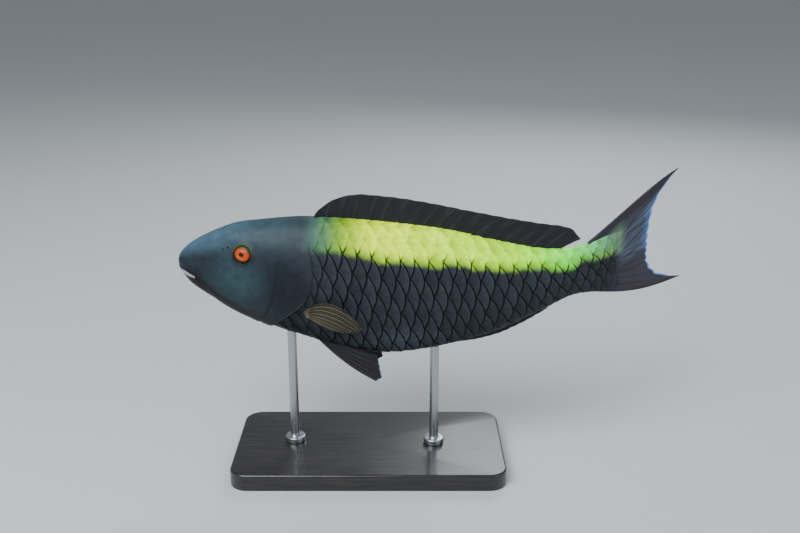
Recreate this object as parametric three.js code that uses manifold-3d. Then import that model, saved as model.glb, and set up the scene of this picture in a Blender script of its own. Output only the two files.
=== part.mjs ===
// A bicolour parrotfish, dark with a yellow back, as a life-size display model on two rods and a flat base.
// Units are millimetres, +Z is up, the head points to -X, and the origin is under the base's centre.
// The fish is laid out straight first: x runs from the snout to the tail, y across it with its left side at -y,
// and z is up from the tip of the snout. The function bend then swings head and tail away to +Y.
import * as THREE from "three";
import Module from "manifold-3d";

const wasm = await Module();
wasm.setup();

const gap = 0.3; // clearance between neighbouring pieces
const snoutHeight = 182; // tip of the snout above the ground
const balanceX = 168; // station of the body that stands over the base's centre

// How the body swings in plan, in degrees, and between which stations
const headTurn = 12;
const headTurnEnd = 200;
const tailTurn = 44;
const tailTurnStart = 260;
const tailTurnEnd = 460;
const straightStation = 150;

// Stations along the body: x, height of the back, height of the belly, half the width
const stations = [
  { at: "tip of the snout", x: 0, back: 1, belly: 1, half: 0 },
  { at: "upper lip", x: 0.9, back: 5.2, belly: -3.6, half: 3.9 },
  { at: "teeth", x: 4, back: 10.2, belly: -9, half: 8 },
  { at: "corner of the mouth", x: 12, back: 17.2, belly: -19, half: 12.6 },
  { at: "chin", x: 26, back: 25.6, belly: -28, half: 17 },
  { at: "eye", x: 52, back: 36.6, belly: -42.8, half: 22.3 },
  { at: "cheek", x: 78, back: 41, belly: -52.4, half: 25.8 },
  { at: "gill opening", x: 112, back: 44.4, belly: -61.5, half: 28.2 },
  { at: "breast", x: 150, back: 43.4, belly: -73, half: 29.2 },
  { at: "deepest belly", x: 190, back: 39.8, belly: -76.6, half: 28.4 },
  { at: "vent", x: 232, back: 34.4, belly: -70.2, half: 25.2 },
  { at: "middle of the anal fin", x: 276, back: 25, belly: -58, half: 19 },
  { at: "end of the anal fin", x: 314, back: 16.8, belly: -41.4, half: 12.6 },
  { at: "narrowest stalk", x: 346, back: 14.9, belly: -28, half: 8.2 },
  { at: "root of the tail fin", x: 376, back: 21.5, belly: -28.2, half: 4.8 },
  { at: "end of the scales", x: 396, back: 26.5, belly: -29, half: 2.2 },
];
const sectionPower = 2.15; // 2 is an ellipse, more is squarer
const bodyRings = 45;
const bodySides = 36;
const ringCrowding = 1.15; // more than 1 sets the rings closer together at the snout

const gillFlap = 0.9; // how far the gill cover's edge stands off the shoulder
const gillFlapReach = 12;
const gillCover = { depth: 3.5, top: 17, bottom: -54, beyond: 6 };

// How far the cutting blocks reach past the fish
const sideReach = 70;
const headRoom = { x: -20, top: 62, bottom: -76 };
const stalk = { start: 318, end: 420, top: 80, bottom: -90 };

const eye = {
  x: 65.5,
  z: 15.4,
  radius: 7.3,
  dome: 2.3, // how far the front stands out from the eye's widest ring
  depth: 6,
  sunk: 0.5, // how far that ring lies below the skin
  rim: 1.1,
  rimSides: 6,
  room: 8, // how far the socket's cut stands out from the skin
  bowlRings: 4,
  sides: 24,
};
const nostrils = [
  { x: 48, z: 18.5, radius: 0.9 },
  { x: 52.5, z: 20, radius: 1.2 },
];

const mouth = {
  front: -2,
  lipTop: -5.6, // the upper lip hangs to this height in front of the bend
  bend: 9.14,
  corner: 22.3,
  cornerHeight: -10.6,
  upperSlope: -0.38, // both lips' edges fall towards the corner
  lowerSlope: -0.13,
  jawEnd: { x: 40, z: -42 },
};
const lips = { radius: 1.3, inset: 0.5, upperLift: 0.7, lowerLift: -0.8, turn: 94, steps: 14, pivot: 3 };
const beak = { inset: -0.3, wall: 3, bite: 0.65, upperEnd: 18.6, lowerEnd: 16 };

const dorsal = {
  spines: 9,
  softRays: 10,
  start: 121,
  end: 327,
  tipStart: 127,
  tipEnd: 353,
  sink: 4,
  top: [[138, 59], [150, 63.2], [164, 64.6], [205, 60], [261, 49], [311, 39.4], [341, 33.4]],
  tipStartHeight: 51,
  tipEndHeight: 22,
  bow: 1.5,
};
const anal = { rays: 12, start: 236, end: 306, tipStart: 246, tipEnd: 326, height: 5, sink: 3 };
const caudal = {
  rays: 13,
  rootX: 389,
  rootTop: 15,
  rootBottom: -25,
  rootSweep: 32, // how much further forward the outermost rays start
  upperTip: { x: 477, z: 69 },
  lowerTip: { x: 496, z: -39.5 },
  fork: { x: 434, z: 5 },
  upperBow: 17,
  lowerBow: -9,
  parting: { from: 370, to: 452, slant: 3 }, // the slit between the lobes
};
const pectoral = {
  rays: 14,
  root: { x: 116, z: -34 },
  rootLength: 4,
  rootLean: 1.5,
  longest: 51,
  shortest: 34.5,
  upperAngle: -5,
  lowerAngle: -18,
  upperRise: 0.6, // how far the rays bow upwards, as a share of their length
  lowerRise: -0.13,
  swell: 0.08, // and how far they bow outwards
  flare: 27, // degrees that the fin stands off the flank
};
const pelvic = {
  rays: 6,
  root: { x: 120, y: 9 },
  rootLength: 14,
  sink: 6,
  tip: { x: 180, z: -97.5 },
  rear: { x: 176, z: -73 },
  flare: 15, // mm that the tip stands out sideways
  rearFlare: 12,
  bow: { y: 2, z: -7 },
};

const base = { length: 240, width: 124, thickness: 15, corner: 16, bevel: 2 };
const rod = { radius: 4, stations: [100, 226], collarRadius: 9, collarHeight: 5, sides: 24 };

const { degToRad, smoothstep, lerp } = THREE.MathUtils;
const alongX = (points, key) =>
  new THREE.SplineCurve(points.map((p) => new THREE.Vector2(p.x, p[key])));

// The swung centre line, walked in steps of one millimetre
const reach = 560;
const heading = (x) =>
  degToRad(
    tailTurn * smoothstep(x, tailTurnStart, tailTurnEnd) -
      headTurn * (1 - smoothstep(x, 0, headTurnEnd)),
  );
const centreLine = [new THREE.Vector2(0, 0)];
for (let x = 0; x < reach; x++) {
  const step = new THREE.Vector2(Math.cos(heading(x)), Math.sin(heading(x)));
  centreLine.push(centreLine[x].clone().add(step));
}
const centreX = centreLine[balanceX].x;
const centreY = centreLine[straightStation].y;

// A point of the straight fish at its place in the finished pose
function bend({ x, y, z }) {
  const whole = THREE.MathUtils.clamp(Math.floor(x), 0, reach - 1);
  const turn = heading(x);
  const along = new THREE.Vector2(Math.cos(turn), Math.sin(turn));
  const centre = centreLine[whole].clone().addScaledVector(along, x - whole);
  return new THREE.Vector3(
    centre.x - centreX - y * Math.sin(turn),
    centre.y - centreY + y * Math.cos(turn),
    z + snoutHeight,
  );
}

const backLine = alongX(stations, "back");
const bellyLine = alongX(stations, "belly");
const halfLine = alongX(stations, "half");

// The share of the way along the stations at which the body reaches x
function shareAt(x) {
  let low = 0;
  let high = 1;
  for (let i = 0; i < 40; i++) {
    const middle = (low + high) / 2;
    if (backLine.getPoint(middle).x < x) low = middle;
    else high = middle;
  }
  return (low + high) / 2;
}

function sectionAt(share) {
  const back = backLine.getPoint(share);
  const belly = bellyLine.getPoint(share).y;
  const half = Math.max(halfLine.getPoint(share).y, 0);
  return { x: back.x, middle: (back.y + belly) / 2, height: (back.y - belly) / 2, half };
}

const backAt = (x) => backLine.getPoint(shareAt(x)).y;
const bellyAt = (x) => bellyLine.getPoint(shareAt(x)).y;

// The flank's distance from the middle plane at a height, or 0 above the back and below the belly
function halfWidthAt(x, z) {
  const section = sectionAt(shareAt(x));
  const up = Math.abs((z - section.middle) / section.height);
  return up < 1 ? section.half * (1 - up ** sectionPower) ** (1 / sectionPower) : 0;
}

const squared = (value) => Math.sign(value) * Math.abs(value) ** (2 / sectionPower);

// A closed solid from points and triangles, turned the right way out
function solidFrom(points, triangles) {
  let volume = 0;
  for (const [a, b, c] of triangles)
    volume += points[a].dot(new THREE.Vector3().crossVectors(points[b], points[c]));
  const outward = volume > 0 ? triangles : triangles.map(([a, b, c]) => [a, c, b]);
  return new wasm.Manifold(
    new wasm.Mesh({
      numProp: 3,
      vertProperties: new Float32Array(points.flatMap((p) => [p.x, p.y, p.z])),
      triVerts: new Uint32Array(outward.flat()),
    }),
  );
}

// A closed solid through rings of points, with a point or a flat cap at each end
function loft(rings, first, last) {
  const sides = rings[0].length;
  const points = [...rings.flat(), first, last];
  const firstIndex = points.length - 2;
  const lastIndex = points.length - 1;
  const triangles = [];
  for (let i = 0; i < rings.length; i++) {
    for (let j = 0; j < sides; j++) {
      const here = i * sides + j;
      const beside = i * sides + ((j + 1) % sides);
      if (i === 0) triangles.push([firstIndex, beside, here]);
      if (i === rings.length - 1) triangles.push([lastIndex, here, beside]);
      else triangles.push([here, beside, beside + sides], [here, beside + sides, here + sides]);
    }
  }
  return solidFrom(points, triangles);
}

const middleOf = (ring) =>
  ring.reduce((sum, p) => sum.add(p), new THREE.Vector3()).divideScalar(ring.length);

// The height-dependent x of the gill cover's rear edge, seen from the side
const gillEdge = new THREE.SplineCurve(
  [
    [112, 62],
    [116.5, 40],
    [123.5, 14],
    [124, -4],
    [118.5, -22],
    [107, -34],
    [92, -46],
    [77, -58],
    [63, -72],
  ].map(([x, z]) => new THREE.Vector2(x, z)),
);
const gillEdgePoints = gillEdge.getPoints(26);

function gillEdgeAt(z) {
  const upper = gillEdgePoints.findIndex((p) => p.y < z);
  if (upper < 1) return gillEdgePoints[0].x;
  const a = gillEdgePoints[upper - 1];
  const b = gillEdgePoints[upper];
  return lerp(a.x, b.x, (z - a.y) / (b.y - a.y));
}

// The whole body from snout to tail root, grown by a margin, with the gill flaps standing out if asked
function bodySolid(grow = 0, flaps = false) {
  const rings = [];
  for (let i = 1; i <= bodyRings; i++) {
    const share = (i / bodyRings) ** ringCrowding;
    const section = sectionAt(share);
    const stretch = i === bodyRings ? grow : -grow * (1 - i / bodyRings);
    const ring = [];
    for (let j = 0; j < bodySides; j++) {
      const angle = (j / bodySides) * 2 * Math.PI;
      const across = squared(Math.cos(angle));
      const z = section.middle + squared(Math.sin(angle)) * (section.height + grow);
      const ahead = gillEdgeAt(z) - section.x;
      const flap = flaps ? gillFlap * Math.exp(-((ahead / gillFlapReach) ** 2)) : 0;
      const y = across * (section.half + grow + flap);
      ring.push(bend({ x: section.x + stretch, y, z }));
    }
    rings.push(ring);
  }
  const tip = bend({ x: -grow, y: 0, z: stations[0].back });
  return loft(rings, tip, middleOf(rings.at(-1)));
}

// A block through the whole width of the fish with an outline given in side view
function sideBlock(outline, from = -sideReach, to = sideReach) {
  const flat = outline.map((p) => new THREE.Vector2(p.x, p.z));
  if (THREE.ShapeUtils.isClockWise(flat)) flat.reverse();
  const faces = THREE.ShapeUtils.triangulateShape(flat, []);
  const count = flat.length;
  const points = [from, to].flatMap((y) => flat.map((p) => bend({ x: p.x, y, z: p.y })));
  const triangles = faces.flatMap(([a, b, c]) => [
    [a, b, c],
    [a + count, c + count, b + count],
  ]);
  for (let i = 0; i < count; i++) {
    const next = (i + 1) % count;
    triangles.push([i, i + count, next], [next, i + count, next + count]);
  }
  return solidFrom(points, triangles);
}

// The largest closed piece that a cut leaves
function largest(solid) {
  const pieces = solid.decompose();
  return pieces.reduce((a, b) => (b.volume() > a.volume() ? b : a));
}

const joined = (pieces) => pieces.reduce((a, b) => a.add(b));

// Rings about an axis that stands on the skin, from a profile of [radius, height above the skin]
function turned({ centre, axis }, profile, sides) {
  const right = new THREE.Vector3(0, 0, 1).cross(axis).normalize();
  const up = axis.clone().cross(right);
  const rings = profile.map(([radius, height]) =>
    Array.from({ length: sides }, (_, j) => {
      const angle = (j / sides) * 2 * Math.PI;
      const p = centre.clone().addScaledVector(axis, height);
      p.addScaledVector(right, radius * Math.cos(angle)).addScaledVector(up, radius * Math.sin(angle));
      return bend(p);
    }),
  );
  return loft(rings, middleOf(rings[0]), middleOf(rings.at(-1)));
}

// The place on the flank over a point of the middle plane, and the way that the skin faces there
function onSkin(x, z, side) {
  const slopeX = (halfWidthAt(x + 1, z) - halfWidthAt(x - 1, z)) / 2;
  const slopeZ = (halfWidthAt(x, z + 1) - halfWidthAt(x, z - 1)) / 2;
  return {
    centre: new THREE.Vector3(x, side * halfWidthAt(x, z), z),
    axis: new THREE.Vector3(-slopeX, side, -slopeZ).normalize(),
  };
}

// A tube of changing radius along points of the straight fish
function tubeAlong(path, radiusAt, sides = 8) {
  const rings = path.map((centre, i) => {
    const before = path[Math.max(i - 1, 0)];
    const after = path[Math.min(i + 1, path.length - 1)];
    const along = after.clone().sub(before).normalize();
    const out = new THREE.Vector3(0, 0, 1).cross(along).normalize();
    const up = along.clone().cross(out);
    const radius = radiusAt(i / (path.length - 1));
    return Array.from({ length: sides }, (_, j) => {
      const angle = (j / sides) * 2 * Math.PI;
      const p = centre.clone();
      p.addScaledVector(out, radius * Math.cos(angle)).addScaledVector(up, radius * Math.sin(angle));
      return bend(p);
    });
  });
  return loft(rings, bend(path[0]), bend(path.at(-1)));
}

// A fin as one sheet that is thicker along its rays. Each ray is a function from 0 at its root to 1 at its tip.
function finSolid(rays, { rows = 6, ray = 1.7, membrane = 0.8, edge = 0.55, root = 1, notch = 0.02 }) {
  const columns = [];
  const foot = 0.28; // where a ray's ridge meets the membrane, as a share of the way to the next ray
  for (let i = 0; i < rays.length; i++) {
    columns.push({ at: i, thick: true });
    if (i < rays.length - 1)
      columns.push({ at: i + foot, thick: false }, { at: i + 1 - foot, thick: false });
  }
  const point = (at, v) => {
    const lower = Math.min(Math.floor(at), rays.length - 2);
    return rays[lower](v).lerp(rays[lower + 1](v), at - lower);
  };
  const faces = [[], []];
  columns.forEach(({ at, thick }, i) => {
    for (let row = 0; row <= rows; row++) {
      const v = (row / rows) * (thick ? 1 : 1 - notch);
      const here = point(at, v);
      const [next, before] = [Math.min(at + 0.2, rays.length - 1), Math.max(at - 0.2, 0)];
      const across = point(next, v).sub(point(before, v));
      const along = point(at, Math.min(v + 0.05, 1)).sub(point(at, Math.max(v - 0.05, 0)));
      const normal = across.cross(along).normalize();
      const taper = lerp(1, edge, v);
      const fleshy = root * Math.max(0, 1 - 4 * v) ** 2;
      const half = ((thick ? ray : membrane) * (thick ? taper : Math.max(taper, 0.7)) + fleshy) / 2;
      faces.forEach((face, side) => {
        face.push(bend(here.clone().addScaledVector(normal, side ? -half : half)));
      });
    }
  });
  const perColumn = rows + 1;
  const perFace = columns.length * perColumn;
  const triangles = [];
  for (let i = 0; i < columns.length - 1; i++) {
    for (let j = 0; j < rows; j++) {
      const a = i * perColumn + j;
      const b = a + perColumn;
      triangles.push([a, b, b + 1], [a, b + 1, a + 1]);
      triangles.push([a + perFace, b + 1 + perFace, b + perFace]);
      triangles.push([a + perFace, a + 1 + perFace, b + 1 + perFace]);
    }
  }
  const border = [];
  for (let i = 0; i < columns.length; i++) border.push(i * perColumn);
  for (let j = 1; j <= rows; j++) border.push((columns.length - 1) * perColumn + j);
  for (let i = columns.length - 2; i >= 0; i--) border.push(i * perColumn + rows);
  for (let j = rows - 1; j > 0; j--) border.push(j);
  border.forEach((a, i) => {
    const b = border[(i + 1) % border.length];
    triangles.push([a, a + perFace, b], [b, a + perFace, b + perFace]);
  });
  return solidFrom(faces.flat(), triangles);
}

// A ray from root to tip that bows by a share of its length
function rayLine(root, tip, bow = new THREE.Vector3()) {
  const curve = new THREE.QuadraticBezierCurve3(root, root.clone().lerp(tip, 0.5).add(bow), tip);
  return (v) => curve.getPoint(v);
}

// The body and the outlines that part it
const body = bodySolid();
const flappedBody = bodySolid(0, true);
const grownBody = bodySolid(gap);
const grownFlappedBody = bodySolid(gap, true);

function headBlock(margin) {
  const rear = gillEdgePoints.map((p) => ({ x: p.x + margin, z: p.y }));
  return sideBlock([{ x: headRoom.x, z: headRoom.top }, ...rear, { x: headRoom.x, z: headRoom.bottom }]);
}

function stalkBlock(margin) {
  return sideBlock([
    { x: stalk.start - margin, z: stalk.top },
    { x: stalk.start - margin, z: stalk.bottom },
    { x: stalk.end, z: stalk.bottom },
    { x: stalk.end, z: stalk.top },
  ]);
}

const upperLipAt = (x) =>
  Math.min(mouth.lipTop, mouth.cornerHeight + mouth.upperSlope * (x - mouth.corner));
const lowerLipAt = (x) => mouth.cornerHeight + mouth.lowerSlope * (x - mouth.corner);

function gapeBlock() {
  return sideBlock([
    { x: mouth.front, z: upperLipAt(mouth.front) },
    { x: mouth.front, z: lowerLipAt(mouth.front) },
    { x: mouth.corner, z: mouth.cornerHeight - gap },
    { x: mouth.corner, z: mouth.cornerHeight },
    { x: mouth.bend, z: upperLipAt(mouth.bend) },
  ]);
}

function jawBlock(margin) {
  return sideBlock([
    { x: mouth.front, z: lowerLipAt(mouth.front) },
    { x: mouth.front, z: mouth.jawEnd.z },
    { x: mouth.jawEnd.x + margin, z: mouth.jawEnd.z },
    { x: mouth.corner + margin, z: mouth.cornerHeight - gap + margin },
  ]);
}

// A lip: a soft ridge round the snout at the height of the mouth's edge
function lip(edgeAt, lift) {
  const middleX = mouth.corner - lips.pivot;
  const path = [];
  for (let i = 0; i <= lips.steps; i++) {
    const angle = lerp(-lips.turn, lips.turn, i / lips.steps);
    const away = new THREE.Vector3(-Math.cos(degToRad(angle)), Math.sin(degToRad(angle)), 0);
    let inside = 0;
    let outside = 30;
    for (let k = 0; k < 24; k++) {
      const middle = (inside + outside) / 2;
      const x = middleX + away.x * middle;
      const reached = x > 0.05 && halfWidthAt(x, edgeAt(x)) > Math.abs(away.y * middle);
      if (reached) inside = middle;
      else outside = middle;
    }
    const p = away.multiplyScalar(inside - lips.inset);
    const x = middleX + p.x;
    path.push(new THREE.Vector3(x, p.y, edgeAt(x) + lift));
  }
  return tubeAlong(path, (share) => lips.radius * (0.55 + 0.45 * Math.sin(Math.PI * share)));
}

const sides = { left: -1, right: 1 };
const bowl = (steps, radius, height) =>
  Array.from({ length: steps }, (_, i) => {
    const angle = ((i + 1) / (steps + 0.5)) * (Math.PI / 2);
    return [radius * Math.sin(angle), height * Math.cos(angle)];
  });

// The eye is a shallow dome in front and a deeper bowl behind, and its socket opens straight outwards
function eyeSolid(side) {
  const back = bowl(eye.bowlRings, eye.radius, -eye.depth);
  const front = bowl(eye.bowlRings, eye.radius, eye.dome).reverse();
  const profile = [...back, [eye.radius, 0], ...front];
  const sunk = profile.map(([radius, height]) => [radius, height - eye.sunk]);
  return turned(onSkin(eye.x, eye.z, side), sunk, eye.sides);
}

function socketSolid(side) {
  const back = bowl(eye.bowlRings, eye.radius + gap, -eye.depth - gap);
  const profile = [...back, [eye.radius + gap, 0], [eye.radius + gap, eye.room]];
  const sunk = profile.map(([radius, height]) => [radius, height - eye.sunk]);
  return turned(onSkin(eye.x, eye.z, side), sunk, eye.sides);
}

// A soft ring of skin round the eye, which follows the side of the head
function orbitRim(side) {
  const { centre, axis } = onSkin(eye.x, eye.z, side);
  const right = new THREE.Vector3(0, 0, 1).cross(axis).normalize();
  const up = axis.clone().cross(right);
  const points = [];
  for (let i = 0; i < eye.sides; i++) {
    const angle = (i / eye.sides) * 2 * Math.PI;
    const away = right.clone().multiplyScalar(Math.cos(angle)).addScaledVector(up, Math.sin(angle));
    const p = centre.clone().addScaledVector(away, eye.radius + gap + eye.rim * 0.8);
    p.y = side * (halfWidthAt(p.x, p.z) - 0.2);
    for (let j = 0; j < eye.rimSides; j++) {
      const turn = (j / eye.rimSides) * 2 * Math.PI;
      const q = p.clone().addScaledVector(away, eye.rim * Math.cos(turn));
      points.push(bend(q.addScaledVector(axis, eye.rim * Math.sin(turn))));
    }
  }
  const triangles = [];
  for (let i = 0; i < eye.sides; i++) {
    const here = i * eye.rimSides;
    const next = ((i + 1) % eye.sides) * eye.rimSides;
    for (let j = 0; j < eye.rimSides; j++) {
      const beside = (j + 1) % eye.rimSides;
      const [a, b, c, d] = [here + j, here + beside, next + beside, next + j];
      triangles.push([a, b, c], [a, c, d]);
    }
  }
  return solidFrom(points, triangles);
}

// An outline in side view moved outwards by a margin
function widened(outline, margin) {
  const clockwise = THREE.ShapeUtils.isClockWise(outline.map((p) => new THREE.Vector2(p.x, p.z)));
  return outline.map((p, i) => {
    const before = outline.at(i - 1);
    const after = outline[(i + 1) % outline.length];
    const into = new THREE.Vector2(p.x - before.x, p.z - before.z).normalize();
    const out = new THREE.Vector2(after.x - p.x, after.z - p.z).normalize();
    const along = into.clone().add(out).normalize();
    const away = (clockwise ? -margin : margin) / Math.max(along.dot(out), 0.5);
    return { x: p.x + along.y * away, z: p.z - along.x * away };
  });
}

const gillCoverFront = new THREE.SplineCurve(
  [
    [74, -50],
    [83, -39],
    [91, -24],
    [94.5, -6],
    [96.5, 9],
    [105, 18.5],
    [117, 19],
  ].map(([x, z]) => new THREE.Vector2(x, z)),
);

// The gill cover's outline in side view: the cheek's bone in front, the free edge behind
function gillCoverBlock(side, margin) {
  const free = gillEdgePoints.filter((p) => p.y < gillCover.top && p.y > gillCover.bottom);
  const front = gillCoverFront.getPoints(12).map((p) => ({ x: p.x, z: p.y }));
  const beyond = free.map((p) => ({ x: p.x + gillCover.beyond, z: p.y }));
  const outline = widened([...beyond, ...front], margin);
  const inner = 1 - margin;
  return side < 0 ? sideBlock(outline, -sideReach, -inner) : sideBlock(outline, inner, sideReach);
}

function headSolids() {
  const whole = joined([
    flappedBody.intersect(headBlock(0)),
    lip(upperLipAt, lips.upperLift),
    orbitRim(sides.left),
    orbitRim(sides.right),
  ]);
  const eyeHoles = Object.values(sides).map(socketSolid);
  const nostrilHoles = Object.values(sides).flatMap((side) =>
    nostrils.map((n) => {
      const pit = [[n.radius * 0.5, -n.radius], [n.radius, 0], [n.radius, 2]];
      return turned(onSkin(n.x, n.z, side), pit, 8);
    }),
  );
  const core = bodySolid(-gillCover.depth);
  const coverRoom = bodySolid(-gillCover.depth - gap);
  const covers = Object.fromEntries(
    Object.entries(sides).map(([name, side]) => [
      name,
      largest(whole.intersect(gillCoverBlock(side, 0)).subtract(core)),
    ]),
  );
  const coverHoles = Object.values(sides).map((side) =>
    gillCoverBlock(side, gap).subtract(coverRoom),
  );
  const holes = joined([...eyeHoles, ...nostrilHoles, ...coverHoles, gapeBlock()]);
  const head = largest(whole.subtract(holes).subtract(jawBlock(gap)));
  const jawWhole = flappedBody.add(lip(lowerLipAt, lips.lowerLift));
  const jaw = largest(jawWhole.intersect(jawBlock(0)));
  return { head, jaw, covers };
}

// A plate of fused teeth: a thin wall that follows the snout between two heights
function beakSolid(topAt, bottomAt, end) {
  const wall = bodySolid(-beak.inset).subtract(bodySolid(-beak.inset - beak.wall));
  const block = sideBlock([
    { x: mouth.front, z: topAt(mouth.front) },
    { x: mouth.front, z: bottomAt(mouth.front) },
    { x: mouth.bend, z: bottomAt(mouth.bend) },
    { x: end, z: bottomAt(end) },
    { x: end, z: topAt(end) },
    { x: mouth.bend, z: topAt(mouth.bend) },
  ]);
  return largest(wall.intersect(block));
}

// Ray lines of the fins, from the body outwards
function dorsalRays() {
  const count = dorsal.spines + dorsal.softRays;
  const top = new THREE.SplineCurve(
    [
      [dorsal.tipStart, dorsal.tipStartHeight],
      ...dorsal.top,
      [dorsal.tipEnd, dorsal.tipEndHeight],
    ].map(([x, z]) => new THREE.Vector2(x, z)),
  );
  return Array.from({ length: count }, (_, i) => {
    const share = i / (count - 1);
    const x = lerp(dorsal.start, dorsal.end, share);
    const tip = top.getPointAt(share);
    const root = new THREE.Vector3(x, 0, backAt(x) - dorsal.sink);
    const bow = new THREE.Vector3(-dorsal.bow, 0, dorsal.bow);
    return rayLine(root, new THREE.Vector3(tip.x, 0, tip.y), bow);
  });
}

function analRays() {
  return Array.from({ length: anal.rays }, (_, i) => {
    const share = i / (anal.rays - 1);
    const x = lerp(anal.start, anal.end, share);
    const tipX = lerp(anal.tipStart, anal.tipEnd, share);
    const swell = Math.sin(Math.PI * lerp(0.12, 0.85, share));
    const root = new THREE.Vector3(x, 0, bellyAt(x) + anal.sink);
    return rayLine(root, new THREE.Vector3(tipX, 0, bellyAt(tipX) - anal.height * swell));
  });
}

function caudalRays() {
  const { upperTip, lowerTip, fork } = caudal;
  const upper = new THREE.Vector2(upperTip.x, upperTip.z);
  const lower = new THREE.Vector2(lowerTip.x, lowerTip.z);
  const middle = new THREE.Vector2(fork.x, fork.z);
  return Array.from({ length: caudal.rays }, (_, i) => {
    const share = i / (caudal.rays - 1);
    const side = 2 * share - 1; // -1 at the upper lobe, 1 at the lower
    const lobe = side < 0 ? upper : lower;
    const spread = Math.abs(side);
    const tip = new THREE.Vector2(
      lerp(middle.x, lobe.x, spread ** 3.9),
      lerp(middle.y, lobe.y, spread ** 1.2),
    );
    const rootX = caudal.rootX - caudal.rootSweep * spread ** 3;
    const root = new THREE.Vector3(rootX, 0, lerp(caudal.rootTop, caudal.rootBottom, share));
    const bow = new THREE.Vector3(0, 0, (side < 0 ? caudal.upperBow : caudal.lowerBow) * spread ** 2);
    return rayLine(root, new THREE.Vector3(tip.x, 0, tip.y), bow);
  });
}

function pectoralRays(side) {
  const { root, rootLength, longest, shortest, upperAngle, lowerAngle } = pectoral;
  return Array.from({ length: pectoral.rays }, (_, i) => {
    const share = i / (pectoral.rays - 1);
    const angle = degToRad(lerp(upperAngle, lowerAngle, share));
    const length = lerp(longest, shortest, share ** 1.4) * (i === 0 ? 0.93 : 1);
    const out = Math.tan(degToRad(pectoral.flare)) * lerp(1, 0.75, share);
    const x = root.x + share * pectoral.rootLean;
    const z = root.z + rootLength * (0.5 - share);
    const start = new THREE.Vector3(x, side * (halfWidthAt(x, z) - 1.5), z);
    const reachX = length * Math.cos(angle);
    const tip = new THREE.Vector3(x + reachX, start.y + side * reachX * out, z + length * Math.sin(angle));
    const rise = lerp(pectoral.upperRise, pectoral.lowerRise, share);
    const bow = new THREE.Vector3(0, side * length * pectoral.swell, length * rise);
    return rayLine(start, tip, bow);
  });
}

function pelvicRays(side) {
  const { root, rootLength, tip, rear, bow } = pelvic;
  return Array.from({ length: pelvic.rays }, (_, i) => {
    const share = i / (pelvic.rays - 1);
    const x = root.x + rootLength * share;
    const start = new THREE.Vector3(x, side * root.y, bellyAt(x) + pelvic.sink);
    const end = new THREE.Vector3(
      lerp(tip.x, rear.x, share ** 1.5) - (i === 0 ? 5 : 0),
      side * (root.y + lerp(pelvic.flare, pelvic.rearFlare, share)),
      lerp(tip.z, rear.z, share) + (i === 0 ? 1.5 : 0),
    );
    return rayLine(start, end, new THREE.Vector3(0, side * bow.y, bow.z * (1 - share)));
  });
}

// The stand
function baseSolid() {
  const { length, width, thickness, corner, bevel } = base;
  const long = length / 2 - corner;
  const wide = width / 2 - corner;
  const centres = [
    [long, wide],
    [-long, wide],
    [-long, -wide],
    [long, -wide],
  ];
  const ringAt = (z, inset) =>
    centres.flatMap(([x, y], k) =>
      Array.from({ length: 7 }, (_, i) => {
        const angle = ((k + i / 6) * Math.PI) / 2;
        const radius = corner - inset;
        return new THREE.Vector3(x + radius * Math.cos(angle), y + radius * Math.sin(angle), z);
      }),
    );
  const rings = [ringAt(0, 0), ringAt(thickness - bevel, 0), ringAt(thickness, bevel)];
  return loft(rings, new THREE.Vector3(0, 0, 0), new THREE.Vector3(0, 0, thickness));
}

function rodSolid(station) {
  const centre = bend({ x: station, y: 0, z: 0 });
  const bottom = base.thickness + gap;
  const profile = [
    [rod.collarRadius, bottom],
    [rod.collarRadius, bottom + rod.collarHeight - 1],
    [rod.collarRadius - 1, bottom + rod.collarHeight],
    [rod.radius, bottom + rod.collarHeight],
    [rod.radius, snoutHeight + bellyAt(station) + 8],
  ];
  const rings = profile.map(([radius, z]) =>
    Array.from({ length: rod.sides }, (_, j) => {
      const angle = (j / rod.sides) * 2 * Math.PI;
      return new THREE.Vector3(
        centre.x + radius * Math.cos(angle),
        centre.y + radius * Math.sin(angle),
        z,
      );
    }),
  );
  const whole = loft(rings, middleOf(rings[0]), middleOf(rings.at(-1)));
  return largest(whole.subtract(grownFlappedBody));
}

// Finishes
const finish = (color, roughness, metalness = 0) =>
  new THREE.MeshStandardMaterial({ color, roughness, metalness });
const headSkin = finish(0x3b444d, 0.5);
const flankSkin = finish(0x33363c, 0.45);
const stalkSkin = finish(0x5d6440, 0.45);
const darkFin = finish(0x1d181b, 0.5);
const tailFin = finish(0x4a3d45, 0.45);
const amberFin = finish(0x5e4c33, 0.4);
const iris = finish(0xd9541a, 0.15);
const tooth = finish(0xd8d2c4, 0.3);
const standWood = finish(0x17171a, 0.3);
const steel = finish(0xb9bcc0, 0.25, 1);

const fish = new THREE.Group();

function place(name, solid, material) {
  const { vertProperties, triVerts } = solid.getMesh();
  const geometry = new THREE.BufferGeometry();
  geometry.setAttribute("position", new THREE.BufferAttribute(vertProperties, 3));
  geometry.setIndex(new THREE.BufferAttribute(triVerts, 1));
  geometry.computeVertexNormals();
  const mesh = new THREE.Mesh(geometry, material);
  mesh.name = name;
  fish.add(mesh);
}

const { head, jaw, covers } = headSolids();
const trunk = largest(body.subtract(headBlock(gap)).subtract(stalkBlock(gap)));
place("head", head, headSkin);
place("lower_jaw", jaw, headSkin);
place("gill_cover_left", covers.left, headSkin);
place("gill_cover_right", covers.right, headSkin);
place("trunk", trunk, flankSkin);
place("tail_stalk", largest(body.intersect(stalkBlock(0))), stalkSkin);

const biteAt = (x) => lerp(upperLipAt(x), lowerLipAt(x), beak.bite);
const upperBeak = beakSolid((x) => upperLipAt(x) - gap, (x) => biteAt(x) + gap / 2, beak.upperEnd);
const lowerBeak = beakSolid((x) => biteAt(x) - gap / 2, (x) => lowerLipAt(x) + gap, beak.lowerEnd);
place("beak_upper", upperBeak, tooth);
place("beak_lower", lowerBeak, tooth);

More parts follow.
